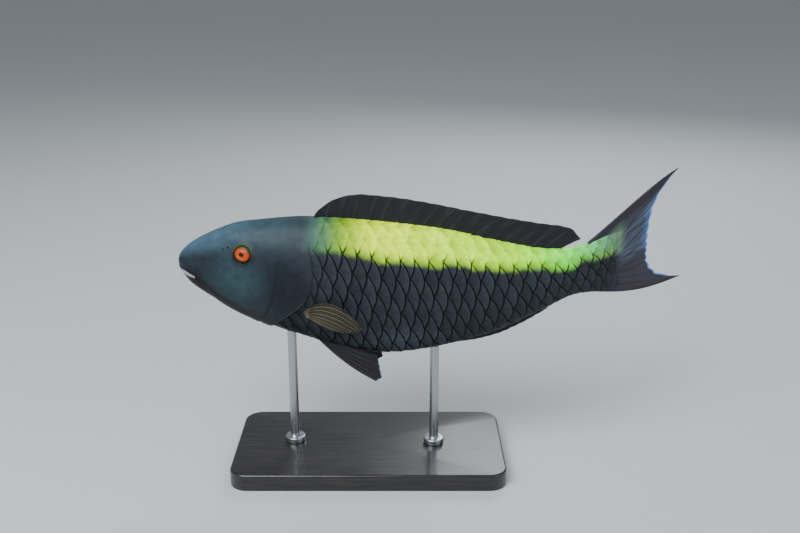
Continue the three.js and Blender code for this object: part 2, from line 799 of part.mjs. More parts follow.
for (const [name, side] of Object.entries(sides)) {
  place(`eye_${name}`, eyeSolid(side), iris);
}

// A fin from its rays, cut clear of the body that it grows from
function grow(rays, sizes) {
  return largest(finSolid(rays, sizes).subtract(grownBody).subtract(grownFlappedBody));
}

place("dorsal_fin", grow(dorsalRays(), { rows: 5 }), darkFin);
place("anal_fin", grow(analRays(), { rows: 4, ray: 1.6 }), darkFin);

// The tail fin is in two lobes, parted along its middle ray
const wholeTail = grow(caudalRays(), { rows: 8, ray: 2.2, membrane: 1, edge: 0.45, root: 2.5 });
const { from, to, slant } = caudal.parting;
const middleRoot = { x: from, z: (caudal.rootTop + caudal.rootBottom) / 2 - slant };
const middleTip = { x: to, z: caudal.fork.z + slant };
const lobes = wholeTail
  .subtract(
    sideBlock([
      { x: middleRoot.x, z: middleRoot.z + gap / 2 },
      { x: middleRoot.x, z: middleRoot.z - gap / 2 },
      { x: middleTip.x, z: middleTip.z - gap / 2 },
      { x: middleTip.x, z: middleTip.z + gap / 2 },
    ]),
  )
  .decompose()
  .sort((a, b) => b.volume() - a.volume())
  .slice(0, 2)
  .sort((a, b) => b.boundingBox().max[2] - a.boundingBox().max[2]);
place("caudal_fin_upper", lobes[0], tailFin);
place("caudal_fin_lower", lobes[1], tailFin);
for (const [name, side] of Object.entries(sides)) {
  place(`pectoral_fin_${name}`, grow(pectoralRays(side), { rows: 5, ray: 1.5, root: 2.5 }), amberFin);
  place(`pelvic_fin_${name}`, grow(pelvicRays(side), { rows: 5, ray: 1.8, root: 2, notch: 0.01 }), darkFin);
}

place("stand_base", baseSolid(), standWood);
place("stand_rod_front", rodSolid(rod.stations[0]), steel);
place("stand_rod_rear", rodSolid(rod.stations[1]), steel);

export default fish;
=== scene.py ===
# A bicolour parrotfish, dark with a yellow back, as a life-size display model: the looks round the solids.
# Shapes are worked out in millimetres on a fish laid out straight. The station runs from snout to tail, y is
# across with the left side at -y, and rise is the height over the snout's tip. bend() puts it into its pose.
import math
from functools import partial

import bpy
import numpy as np
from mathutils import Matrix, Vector


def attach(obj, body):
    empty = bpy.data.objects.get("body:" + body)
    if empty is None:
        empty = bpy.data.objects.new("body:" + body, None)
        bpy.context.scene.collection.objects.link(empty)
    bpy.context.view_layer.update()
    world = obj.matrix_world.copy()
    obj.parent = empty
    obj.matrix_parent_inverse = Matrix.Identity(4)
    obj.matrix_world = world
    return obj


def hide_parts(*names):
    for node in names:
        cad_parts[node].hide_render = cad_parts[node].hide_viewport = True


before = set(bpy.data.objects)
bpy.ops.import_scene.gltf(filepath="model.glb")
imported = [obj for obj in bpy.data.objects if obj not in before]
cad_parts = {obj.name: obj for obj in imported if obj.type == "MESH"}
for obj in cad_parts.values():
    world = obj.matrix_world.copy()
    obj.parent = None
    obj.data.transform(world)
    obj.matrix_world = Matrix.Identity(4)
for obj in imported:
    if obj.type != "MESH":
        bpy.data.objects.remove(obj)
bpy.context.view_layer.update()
mm = 0.001
farOff = 99.0  # mm, for what is out of reach

# The pose and the main body, as the solids have them
body = {
    "snoutHeight": 182, "balanceStation": 168, "straightStation": 150,
    "headTurn": 12, "headTurnEnd": 200,
    "tailTurn": 44, "tailTurnStart": 260, "tailTurnEnd": 460,
    "sectionPower": 2.15,
}
# Station, height of the back, height of the belly, half the width
stations = np.array([
    (0, 1, 1, 0), (0.9, 5.2, -3.6, 3.9), (4, 10.2, -9, 8), (12, 17.2, -19, 12.6),
    (26, 25.6, -28, 17), (52, 36.6, -42.8, 22.3), (78, 41, -52.4, 25.8), (112, 44.4, -61.5, 28.2),
    (150, 43.4, -73, 29.2), (190, 39.8, -76.6, 28.4), (232, 34.4, -70.2, 25.2), (276, 25, -58, 19),
    (314, 16.8, -41.4, 12.6), (346, 14.9, -28, 8.2), (376, 21.5, -28.2, 4.8), (396, 26.5, -29, 2.2),
])
gillEdgePoints = [
    (112, 62), (116.5, 40), (123.5, 14), (124, -4), (118.5, -22), (107, -34), (92, -46), (77, -58), (63, -72),
]
cheekLinePoints = [(74, -50), (83, -39), (91, -24), (94.5, -6), (96.5, 9)]


def ease(value, low, high):
    t = np.clip((value - low) / (high - low), 0, 1)
    return t * t * (3 - 2 * t)


def mix(a, b, share):
    return a + (b - a) * share


def bump(distance, width):
    return np.exp(-((distance / width) ** 2))


def alongSpline(points, t):
    # A smooth curve through evenly timed points, the same kind as the solids use
    points = np.asarray(points, float)
    last = len(points) - 1
    at = np.clip(np.asarray(t, float), 0, 1) * last
    i = np.minimum(at.astype(int), last - 1)
    w = (at - i).reshape(at.shape + (1,) * (points.ndim - 1))
    before, here, there, after = (points[np.clip(i + k, 0, last)] for k in (-1, 0, 1, 2))
    speedHere, speedThere = (there - before) / 2, (after - here) / 2
    return (
        (2 * here - 2 * there + speedHere + speedThere) * w**3
        + (3 * there - 3 * here - 2 * speedHere - speedThere) * w**2
        + speedHere * w + here
    )


bodyTable = alongSpline(stations, np.linspace(0, 1, 6001))
gillEdge = alongSpline(gillEdgePoints, np.linspace(0, 1, 27))
cheekLine = alongSpline(cheekLinePoints, np.linspace(0, 1, 25))


def heading(station):
    tail = body["tailTurn"] * ease(station, body["tailTurnStart"], body["tailTurnEnd"])
    head = body["headTurn"] * (1 - ease(station, 0, body["headTurnEnd"]))
    return np.radians(tail - head)


walkLength = 560  # mm that the centre line is walked, well past the tips of the tail
walk = np.arange(walkLength)
centreLine = np.zeros((walkLength + 1, 2))
centreLine[1:] = np.cumsum(np.stack([np.cos(heading(walk)), np.sin(heading(walk))], 1), 0)
centreOrigin = np.array([centreLine[body["balanceStation"], 0], centreLine[body["straightStation"], 1]])


def bend(points):
    points = np.asarray(points, float)
    station, across, rise = points[..., 0], points[..., 1], points[..., 2]
    whole = np.clip(np.floor(station), 0, walkLength - 1).astype(int)
    turn = heading(station)
    along = np.stack([np.cos(turn), np.sin(turn)], -1)
    centre = centreLine[whole] + along * (station - whole)[..., None] - centreOrigin
    x = centre[..., 0] - across * np.sin(turn)
    y = centre[..., 1] + across * np.cos(turn)
    return np.stack([x, y, rise + body["snoutHeight"]], -1)


def bodyAt(station):
    # Height of the back and the belly, and half the width
    return tuple(np.interp(station, bodyTable[:, 0], bodyTable[:, k]) for k in (1, 2, 3))


def squared(value):
    return np.sign(value) * np.abs(value) ** (2 / body["sectionPower"])


def halfWidthAt(station, rise):
    back, belly, half = bodyAt(station)
    up = np.abs((rise - (back + belly) / 2) / np.maximum((back - belly) / 2, 1e-6))
    power = body["sectionPower"]
    return np.where(up < 1, half * (1 - np.minimum(up, 1) ** power) ** (1 / power), 0)


def onSkin(station, rise, side):
    slopeX = (halfWidthAt(station + 1, rise) - halfWidthAt(station - 1, rise)) / 2
    slopeZ = (halfWidthAt(station, rise + 1) - halfWidthAt(station, rise - 1)) / 2
    axis = np.array([-slopeX, side, -slopeZ])
    return np.array([station, side * halfWidthAt(station, rise), rise]), axis / np.linalg.norm(axis)


def acrossAxis(axis):
    right = np.cross((0, 0, 1), axis)
    right /= np.linalg.norm(right)
    return right, np.cross(axis, right)


def gillEdgeAt(rise):
    return np.interp(-rise, -gillEdge[:, 1], gillEdge[:, 0])


def distanceTo(line, station, rise):
    # The least distance in side view from each point to a line of points
    best = np.full(np.shape(station), 1e9)
    for (ax, az), (bx, bz) in zip(line[:-1], line[1:]):
        dx, dz = bx - ax, bz - az
        t = np.clip(((station - ax) * dx + (rise - az) * dz) / (dx * dx + dz * dz), 0, 1)
        best = np.minimum(best, np.hypot(station - ax - t * dx, rise - az - t * dz))
    return best


def halfGirth(station, samples=361):
    # The left half of a section from the middle of the back to that of the belly: y, rise, and way walked
    back, belly, half = bodyAt(station)
    angle = np.linspace(math.pi / 2, -math.pi / 2, samples)
    y = squared(np.cos(angle)) * half
    rise = (back + belly) / 2 + squared(np.sin(angle)) * (back - belly) / 2
    way = np.concatenate([[0], np.cumsum(np.hypot(np.diff(y), np.diff(rise)))])
    return y, rise, way


# Making of pieces and node trees


def makePiece(name, points, faces, material=None, attributes=None, uv=None, uvName="OFBake", turnOut=False):
    mesh = bpy.data.meshes.new(name)
    mesh.from_pydata((np.asarray(points) * mm).tolist(), [], [tuple(map(int, f)) for f in faces])
    for key, values in (attributes or {}).items():
        layer = mesh.attributes.new(key, "FLOAT", "POINT")
        layer.data.foreach_set("value", np.asarray(values, np.float32))
    if uv is not None:
        layer = mesh.uv_layers.new(name=uvName)
        layer.data.foreach_set("uv", np.asarray(uv, np.float32).ravel())
    mesh.update()
    if turnOut and signedVolume(mesh) < 0:
        mesh.flip_normals()
    mesh.polygons.foreach_set("use_smooth", [True] * len(mesh.polygons))
    if material:
        mesh.materials.append(material)
    piece = bpy.data.objects.new(name, mesh)
    bpy.context.scene.collection.objects.link(piece)
    return piece


def signedVolume(mesh):
    mesh.calc_loop_triangles()
    points = np.array([v.co for v in mesh.vertices])
    corners = np.empty(len(mesh.loop_triangles) * 3, int)
    mesh.loop_triangles.foreach_get("vertices", corners)
    a, b, c = (points[corners[k::3]] for k in range(3))
    return float(np.einsum("ij,ij->i", a, np.cross(b, c)).sum())


def ringFaces(count, sides):
    # Faces between closed rings of points, with a point behind the first ring and one past the last
    faces = []
    for i in range(count - 1):
        for j in range(sides):
            a, b = i * sides + j, i * sides + (j + 1) % sides
            faces.append((a, b, b + sides, a + sides))
    first, last = count * sides, (count - 1) * sides
    for j in range(sides):
        k = (j + 1) % sides
        faces += [(first, k, j), (first + 1, last + j, last + k)]
    return faces


def sheetFaces(columns, rows):
    # Faces of a closed sheet: two layers of points, one over the other, joined all round their border
    wide = rows + 1
    total = (columns + 1) * wide
    faces = []
    for i in range(columns):
        for j in range(rows):
            a = i * wide + j
            faces.append((a, a + wide, a + wide + 1, a + 1))
            faces.append((a + total, a + 1 + total, a + wide + 1 + total, a + wide + total))
    border = [i * wide for i in range(columns + 1)] + [columns * wide + j for j in range(1, wide)]
    border += [i * wide + rows for i in range(columns - 1, -1, -1)] + list(range(rows - 1, 0, -1))
    for a, b in zip(border, border[1:] + border[:1]):
        faces.append((a, a + total, b + total, b))
    return faces


# Short names for nodes: kind, inputs in the order they are given, settings, and the output that is handed on
nodeKinds = {
    "softStep": (
        "ShaderNodeMapRange", ("Value", "From Min", "From Max"), {"interpolation_type": "SMOOTHSTEP"}, 0,
    ),
    "range": ("ShaderNodeMapRange", ("Value", "From Min", "From Max", "To Min", "To Max"), {}, 0),
    "blend": ("ShaderNodeMix", ("Factor", 6, 7), {"data_type": "RGBA"}, 2),
    "noise": ("ShaderNodeTexNoise", ("Vector", "Scale", "Detail"), {}, 0),
    "brighten": ("ShaderNodeHueSaturation", ("Color", "Value"), {}, 0),
    "relief": ("ShaderNodeBump", ("Height", "Strength", "Distance"), {}, 0),
    "vector": ("ShaderNodeCombineXYZ", (0, 1, 2), {}, 0),
    "length": ("ShaderNodeVectorMath", (0,), {"operation": "LENGTH"}, 1),
    "reading": ("ShaderNodeAttribute", (), {}, "Fac"),
    "objectPlace": ("ShaderNodeTexCoord", (), {}, "Object"),
    "surface": ("ShaderNodeBsdfPrincipled", (), {}, 0),
    "finish": ("ShaderNodeOutputMaterial", ("Surface",), {}, 0),
    "named": ("GeometryNodeInputNamedAttribute", ("Name",), {"data_type": "FLOAT"}, 0),
    "store": ("GeometryNodeStoreNamedAttribute", ("Geometry", "Name", "Value"), {"data_type": "FLOAT"}, 0),
    "move": ("GeometryNodeSetPosition", ("Geometry", "Position"), {}, 0),
}
for name, operation in [
    ("plus", "ADD"), ("minus", "SUBTRACT"), ("times", "MULTIPLY"), ("over", "DIVIDE"),
    ("larger", "MAXIMUM"), ("size", "ABSOLUTE"), ("sign", "SIGN"), ("sine", "SINE"), ("turn", "ARCTAN2"),
    ("timesPlus", "MULTIPLY_ADD"),
]:
    nodeKinds[name] = ("ShaderNodeMath", (0, 1, 2), {"operation": operation}, 0)
for name, operation in [
    ("shift", "ADD"), ("offset", "SUBTRACT"), ("shrink", "DIVIDE"), ("unit", "NORMALIZE"),
]:
    nodeKinds[name] = ("ShaderNodeVectorMath", (0, 1), {"operation": operation}, 0)


def addNode(tree, kind, *values, inputs=None, out=None, **settings):
    # Adds a node, sets or links its inputs, and gives the output asked for
    kind, keys, fixed, usual = nodeKinds.get(kind, (kind, (), {}, 0))
    node = tree.nodes.new(kind)
    for key, value in {**fixed, **settings}.items():
        setattr(node, key, value)
    for key, value in {**dict(zip(keys, values)), **(inputs or {})}.items():
        if isinstance(value, bpy.types.NodeSocket):
            tree.links.new(value, node.inputs[key])
        else:
            node.inputs[key].default_value = value
    return node.outputs[usual if out is None else out] if len(node.outputs) else node


def newMaterial(name):
    # The material and the adder of its nodes
    material = bpy.data.materials.new(name)
    material.use_nodes = True
    material.node_tree.nodes.clear()
    return material, partial(addNode, material.node_tree)


def colour(code):
    parts = [int(code[i : i + 2], 16) / 255 for i in (1, 3, 5)]
    return tuple(c / 12.92 if c <= 0.04045 else ((c + 0.055) / 1.055) ** 2.4 for c in parts) + (1,)


def perWidth(width):
    # The scale of a pattern whose blotches are this many millimetres wide
    return 1 / (width * mm)


# Markings that the skin and the scales share, with painted light from above on the top of the head

markings = {
    "slate": "#20292f", "forehead": "#3f5b69", "crown": "#2f444b", "cheek": "#2a3d43", "purple": "#15161f",
    "maroon": "#1b1319", "jaw": "#08070b", "flank": "#2b2e33", "flankRear": "#2c3035", "belly": "#41464d",
    "paleFringe": "#86c22a", "tailDark": "#25232e", "tailPale": "#668a6c",
    "shoulder": (95, 135), "headEnd": (122, 92), "tailRoot": (380, 400),
    "roofSpan": (40, 85), "roofLevels": (0.66, 0.97), "roofStrength": 0.9,
    "keelLevels": (0.2, 0.05), "keelStrength": (0.1, 0.85),
    "jawSoftness": (-3, 2.5), "jawSpan": (80, 42), "jawStrength": 0.95,
    "bandSoftness": 4, "bandFront": (106, 130),
    "fringeHeights": (9, 0.5), "fringeSpan": (130, 170), "fringeStrength": 0.6,
    "chartLength": 400, "chartLowest": -60, "chartHeight": 100,
}
# Station and height of the yellow band's lower edge, and of the upper edge of the dark jaw
bandEdge = [
    (100, 21), (152, 20), (172, 15.5), (205, 10.5), (233, 9.2), (270, 3.8), (317, 1), (337, -0.5), (354, 4.6),
    (400, 6),
]
jawEdge = [
    (0, -4.5), (12, -5), (20, -6.8), (27, -10.5), (31.5, -15), (38, -20.5), (47.5, -26), (60, -32),
    (80, -41.5), (110, -52),
]
# The band's tone from the nape to the tail
bandTones = [
    (112, "#2c4145"), (122, "#3b5c52"), (134, "#4f7a4c"), (147, "#7aa41e"), (162, "#b4d400"),
    (178, "#e2ff00"), (240, "#ceff00"), (290, "#bcff00"), (318, "#90ff20"), (345, "#70ff50"),
    (362, "#62cc70"), (380, "#66986c"), (394, "#6c8e70"),
]
# Patches of tone on the head and flank: middle, reach, how soft the edge is, tone and strength
tonePatches = [
    {"at": (62, -6), "reach": (36, 34), "soft": 0.9, "tone": "cheek", "strength": 0.95},
    {"at": (104, -14), "reach": (28, 34), "soft": 0.7, "tone": "purple", "strength": 0.85},
    {"at": (86, 12), "reach": (26, 22), "soft": 0.9, "tone": "purple", "strength": 0.4},
    {"at": (19, -5), "reach": (13, 10), "soft": 1.0, "tone": "purple", "strength": 0.8},
    {"at": (330, -8), "reach": (90, 40), "soft": 0.8, "tone": "flankRear", "strength": 0.9},
    {"at": (205, -66), "reach": (75, 26), "soft": 0.9, "tone": "belly", "strength": 0.9},
]


def lineHeight(add, points, station):
    # The height at each station of a line drawn over the side view
    long, low, tall = (markings[key] for key in ("chartLength", "chartLowest", "chartHeight"))
    curve = add("ShaderNodeFloatCurve", inputs={"Value": add("over", station, float(long))})
    line = curve.node.mapping.curves[0]
    places = [(x / long, (z - low) / tall) for x, z in points]
    line.points[0].location, line.points[1].location = places[0], places[-1]
    for place in places[1:-1]:
        line.points.new(*place)
    curve.node.mapping.update()
    return add("timesPlus", curve, float(tall), float(low))


def paintMarkings(add, wander):
    # The colours of the whole fish from the place on its straightened body
    tones = {key: colour(code) for key, code in markings.items() if str(code).startswith("#")}
    station, rise, level = (add("reading", attribute_name=name) for name in ("station", "rise", "level"))
    place = add("vector", station, rise)
    tone = add("blend", add("softStep", station, *markings["shoulder"]), tones["slate"], tones["flank"])
    for patch in tonePatches:
        away = add("shrink", add("offset", place, (*patch["at"], 0)), (*patch["reach"], 1))
        near = add("softStep", add("length", away), 1.0, 1.0 - patch["soft"])
        tone = add("blend", add("times", near, patch["strength"]), tone, tones[patch["tone"]])
    onHead = add("softStep", station, *markings["headEnd"])
    # Painted light from above: the top of the head is painted paler and bluer, from the forehead back to the
    # crown
    skylitRoof = add("blend", add("softStep", station, *markings["roofSpan"]), tones["forehead"], tones["crown"])
    top = add("times", add("softStep", level, *markings["roofLevels"]), onHead)
    tone = add("blend", add("times", top, markings["roofStrength"]), tone, skylitRoof)
    keel = add("range", onHead, 0.0, 1.0, *markings["keelStrength"])
    keel = add("times", add("softStep", level, *markings["keelLevels"]), keel)
    tone = add("blend", keel, tone, tones["maroon"])
    below = add("minus", lineHeight(add, jawEdge, station), rise)
    jaw = add("softStep", below, *markings["jawSoftness"])
    jaw = add("times", jaw, add("softStep", station, *markings["jawSpan"]))
    tone = add("blend", add("times", jaw, markings["jawStrength"]), tone, tones["jaw"])
    # The yellow band, which is pale green along its lower edge
    above = add("minus", rise, add("plus", lineHeight(add, bandEdge, station), wander))
    soft = markings["bandSoftness"]
    yellow = add("softStep", above, -soft, soft)
    yellow = add("times", yellow, add("softStep", station, *markings["bandFront"]))
    bright = add("ShaderNodeValToRGB", inputs={"Fac": add("over", station, float(markings["chartLength"]))})
    ramp = bright.node.color_ramp
    while len(ramp.elements) < len(bandTones):
        ramp.elements.new(0.5)
    for element, (at, code) in zip(ramp.elements, bandTones):
        element.position = at / markings["chartLength"]
        element.color = colour(code)
    fringe = add("range", station, *markings["fringeSpan"], 0.0, markings["fringeStrength"])
    fringe = add("times", add("softStep", above, *markings["fringeHeights"]), fringe)
    band = add("blend", fringe, bright, tones["paleFringe"])
    tone = add("blend", yellow, tone, band)
    ending = add("blend", yellow, tones["tailDark"], tones["tailPale"])
    return add("blend", add("softStep", station, *markings["tailRoot"]), tone, ending), yellow, above


# The skin

skin = {
    "sides": 264, "firstRing": 0.03, "lastGap": 0.5, "tailEnd": 396, "tailTaper": 1.2, "taperStart": 382,
    "unwrapSpan": 460,
    "coatDepth": 0.7, "flankSink": 4, "napeSink": 18,
    "flap": 0.9, "flapReach": 12, "flapFoot": 0.8, "footLength": 2.5, "flapTop": (16, 30),
    "cheekFold": 0.5, "cheekFoldWidth": 1.2, "cheekSwell": 0.3, "cheekSwellWidth": 3, "cheekSwellBack": 3.5,
    "eyeAngle": 25.5, "eyeAngleReach": 16, "eyeCrowding": 0.9,
}
# How far apart the rings lie, from station to spacing
ringSpacing = [
    (0, 0.1), (2, 0.45), (30, 0.6), (42, 0.45), (78, 0.45), (84, 0.75), (122, 0.75), (134, 2.6), (396, 3.2),
]
eye = {
    "x": 65.5, "z": 15.4, "radius": 7.3, "dome": 2.3, "depth": 6, "sunk": 0.5, "reach": 9,
    "rimHeight": 0.6, "rimWidth": (0.7, 1.0, 4.2), "bowl": 3.2, "bowlWall": (-1.2, 0.25),
    "trough": 0.12, "troughPlace": 5.5, "troughWidth": 1.6, "lidEdge": (10.4, 8.0), "lidStrength": 0.85,
    # How far from the eye's middle the painted shade in its socket fades out
    "shadeWall": (6.8, 7.5),
}
nostrils = [{"x": 48, "z": 18.5, "radius": 0.9}, {"x": 52.5, "z": 20, "radius": 1.2}]
nostrilPit = {"depth": 1.1, "rim": 0.4, "rimPlace": 0.3, "rimWidth": 0.6, "floorShare": 0.35}
mouth = {
    "corner": 22.3, "cornerHeight": -10.6, "lipTop": -5.6, "upperSlope": -0.38, "lowerSlope": -0.13,
    "depth": 4.2, "cornerDepth": 0.4, "deepening": 1.2, "gapeEdge": (-0.1, 0.8),
    "lipHeight": 0.5, "lowerLipShare": 0.8, "lipWidth": 1.4, "lipLean": 0.93, "lipFade": (-1, 3),
    "jawEnd": (40, -42), "fold": 0.25, "foldWidth": 1.1, "foldShoulder": 0.6, "shoulderWidth": 2.6,
}
# Soft swells and hollows of the head: middle, reach and height
faceForms = [
    {"at": (74, -16), "reach": (20, 16), "lift": 0.7},
    {"at": (60, 2), "reach": (12, 3.5), "lift": -0.5},
    {"at": (66, 27), "reach": (16, 4), "lift": 0.5},
    {"at": (34, 8), "reach": (14, 9), "lift": 0.4},
]


def upperLipAt(station):
    slope = mouth["cornerHeight"] + mouth["upperSlope"] * (station - mouth["corner"])
    return np.minimum(mouth["lipTop"], slope)


def lowerLipAt(station):
    return mouth["cornerHeight"] + mouth["lowerSlope"] * (station - mouth["corner"])


def flapRelief(station, rise):
    # The gill cover's free edge stands off the shoulder, with a fold behind it, and fades out on the nape
    slope = np.interp(-rise, -gillEdge[:, 1], np.gradient(gillEdge[:, 0], gillEdge[:, 1]))
    ahead = (gillEdgeAt(rise) - station) / np.sqrt(1 + slope**2)
    fade = 1 - ease(rise, *skin["flapTop"])
    flap = np.where(ahead > 0, skin["flap"] * bump(ahead, skin["flapReach"]), 0) * fade
    hollow = -skin["flapFoot"] * np.exp(np.minimum(ahead, 0) / skin["footLength"])
    fold = np.where(ahead <= 0, hollow, 0) * fade
    # The skin sinks under the scales at once behind the gill cover, but slowly on the nape
    reach = mix(skin["napeSink"], skin["flankSink"], fade)
    return flap + fold - skin["coatDepth"] * ease(-ahead / reach, 0, 1), ahead


def mouthRelief(station, rise):
    # Lips along both edges of the gape, the gape itself, and the fold behind the corner of the mouth
    corner, wide = mouth["corner"], mouth["lipWidth"]
    fadeStart, fadeEnd = mouth["lipFade"]
    inMouth = 1 - ease(station, corner + fadeStart, corner + fadeEnd)
    above = (rise - upperLipAt(station)) * mouth["lipLean"]
    below = lowerLipAt(station) - rise
    lips = bump(np.maximum(above, -1) - wide, wide) * (above > -1)
    lips += mouth["lowerLipShare"] * bump(np.maximum(below, -1) - wide, wide) * (below > -1)
    inside = np.minimum(-above, -below)
    gape = np.where(station < corner + 1, ease(inside, *mouth["gapeEdge"]), 0)
    ahead = np.maximum(corner - station, 0)
    depth = np.minimum(mouth["depth"], mouth["cornerDepth"] + mouth["deepening"] * ahead)
    fold = distanceTo([(corner, mouth["cornerHeight"]), mouth["jawEnd"]], station, rise)
    relief = mouth["lipHeight"] * lips * inMouth * (1 - gape) - depth * gape
    crease = bump(fold, mouth["foldWidth"]) * (1 - gape)
    crease += bump(fold - mouth["foldShoulder"], mouth["shoulderWidth"])
    return relief - mouth["fold"] * crease, gape


def orbitRelief(points, side):
    # A bowl under the eye and a soft raised ring of skin round it
    centre, axis = onSkin(eye["x"], eye["z"], side)
    right, up = acrossAxis(axis)
    away = points - centre
    distance = np.hypot(away @ right, away @ up) + farOff * (np.abs(away @ axis) > eye["reach"])
    ring = distance - eye["radius"]
    crest, shoulder, foot = eye["rimWidth"]
    rim = eye["rimHeight"] * ease(ring, 0.0, crest) * (1 - ease(ring, shoulder, foot))
    bowl = eye["bowl"] * (1 - ease(ring, *eye["bowlWall"]))
    trough = eye["trough"] * bump(ring - eye["troughPlace"], eye["troughWidth"])
    return rim - bowl - trough, distance


def nostrilRelief(points, side):
    relief = np.zeros(len(points))
    dark = np.zeros(len(points))
    for nostril in nostrils:
        centre, _ = onSkin(nostril["x"], nostril["z"], side)
        distance = np.linalg.norm(points - centre, axis=1)
        shadedPit = 1 - ease(distance, nostrilPit["floorShare"] * nostril["radius"], nostril["radius"])
        rim = bump(distance - nostril["radius"] - nostrilPit["rimPlace"], nostrilPit["rimWidth"])
        relief += nostrilPit["rim"] * rim - nostrilPit["depth"] * shadedPit
        # The floor of each pit is also a mask of painted shade
        dark = np.maximum(dark, shadedPit)
    return relief, dark


def skinGrid():
    # Rings of points round the straight body, closer together on the head and round the eyes
    places = [skin["firstRing"]]
    spots, gaps = zip(*ringSpacing)
    while places[-1] < skin["tailEnd"] - skin["lastGap"]:
        places.append(places[-1] + float(np.interp(places[-1], spots, gaps)))
    rings = np.array(places[:-1] + [skin["tailEnd"]])
    turns = np.linspace(0, 2 * math.pi, 4001)
    eyeTurn = math.radians(90 + skin["eyeAngle"])
    spread = math.radians(skin["eyeAngleReach"])
    near = bump(turns - eyeTurn, spread) + bump(turns - (2 * math.pi - eyeTurn), spread)
    crowd = 1 + skin["eyeCrowding"] * near
    share = np.concatenate([[0], np.cumsum((crowd[1:] + crowd[:-1]) / 2)])
    angle = -math.pi / 2 - np.interp(np.linspace(0, share[-1], skin["sides"] + 1), share, turns)
    back, belly, half = (v[:, None] for v in bodyAt(rings))
    y = squared(np.cos(angle)) * half
    rise = (back + belly) / 2 + squared(np.sin(angle)) * (back - belly) / 2
    station = np.broadcast_to(rings[:, None], y.shape)
    return rings, np.stack([station, y, rise], -1)


def normalsOf(grid):
    along = np.gradient(grid, axis=0)
    wrapped = np.concatenate([grid[:, -2:-1], grid, grid[:, 1:2]], 1)
    around = (wrapped[:, 2:] - wrapped[:, :-2]) / 2
    normal = np.cross(around, along)
    return normal / np.maximum(np.linalg.norm(normal, axis=-1, keepdims=True), 1e-9)


def buildSkin(material):
    rings, grid = skinGrid()
    normal = normalsOf(grid)
    if normal[len(rings) // 2, skin["sides"] // 4, 1] > 0:
        normal = -normal
    count, sides = len(rings), skin["sides"]
    walked = np.cumsum(np.linalg.norm(np.diff(grid, axis=1), axis=-1), 1)
    arc = np.concatenate([np.zeros((count, 1)), walked], 1)
    arc -= arc[:, -1:] / 2  # nought at the middle of the back, less than nought on the left
    points = grid[:, :sides].reshape(-1, 3)
    outward = normal[:, :sides].reshape(-1, 3)
    station, rise = points[:, 0], points[:, 2]
    side = np.where(points[:, 1] < 0, -1, 1)
    lift, ahead = flapRelief(station, rise)
    lips, gape = mouthRelief(station, rise)
    cheekFold = distanceTo(cheekLine, station, rise)
    behind = np.where(station > np.interp(rise, cheekLine[:, 1], cheekLine[:, 0]), 1, -1) * cheekFold
    lift += lips - skin["cheekFold"] * bump(cheekFold, skin["cheekFoldWidth"])
    lift += skin["cheekSwell"] * bump(behind + skin["cheekSwellBack"], skin["cheekSwellWidth"])
    for form in faceForms:
        (x, z), (long, tall) = form["at"], form["reach"]
        lift += form["lift"] * np.exp(-(((station - x) / long) ** 2 + ((rise - z) / tall) ** 2))
    lift -= skin["tailTaper"] * ease(station, skin["taperStart"], skin["tailEnd"])
    # A mask of painted shade: the gape of the mouth, the nostril pits and the socket round each eye
    dark = gape.copy()
    orbitWay = np.full(len(points), farOff)
    for which in (-1, 1):
        mine = side == which
        orbit, orbitWay[mine] = orbitRelief(points[mine], which)
        pits, nostrilShade = nostrilRelief(points[mine], which)
        lift[mine] += orbit + pits
        socketShade = 1 - ease(orbitWay[mine], *eye["shadeWall"])
        dark[mine] = np.maximum(dark[mine], np.maximum(nostrilShade, socketShade))
    tip = bend(np.array([[0.0, 0, stations[0][1]]]))
    tail = bend(np.array([[float(skin["tailEnd"]), 0, rise[-sides:].mean()]]))
    vertices = np.concatenate([bend(points + outward * lift[:, None]), tip, tail])
    faces, uv = [], []
    span = skin["unwrapSpan"]
    u = rings / span
    v = 0.5 + arc / span
    for i in range(count - 1):
        for j in range(sides):
            a, b = i * sides + j, i * sides + (j + 1) % sides
            faces.append((a, a + sides, b + sides, b))
            corners = [(i, j), (i + 1, j), (i + 1, j + 1), (i, j + 1)]
            uv += [(u[p], v[p, q]) for p, q in corners]
    tipIndex, tailIndex = count * sides, count * sides + 1
    base = (count - 1) * sides
    for j in range(sides):
        k = (j + 1) % sides
        faces += [(tipIndex, j, k), (tailIndex, base + k, base + j)]
        uv += [(0, (v[0, j] + v[0, j + 1]) / 2), (u[0], v[0, j]), (u[0], v[0, j + 1])]
        uv += [(u[-1] + 0.01, (v[-1, j] + v[-1, j + 1]) / 2), (u[-1], v[-1, j + 1]), (u[-1], v[-1, j])]
    back, belly, _ = bodyAt(station)
    attributes = {
        "station": [*station, 0, skin["tailEnd"]],
        "rise": [*rise, stations[0][1], 0],
        "level": [*((rise - belly) / np.maximum(back - belly, 1e-6)), 0.5, 0.5],
        "shadedPit": [*dark, 0, 0],
        "ahead": [*ahead, farOff, -farOff],
        "orbit": [*orbitWay, farOff, farOff],
    }
    return makePiece("skin", vertices, faces, material, attributes, uv, turnOut=True)


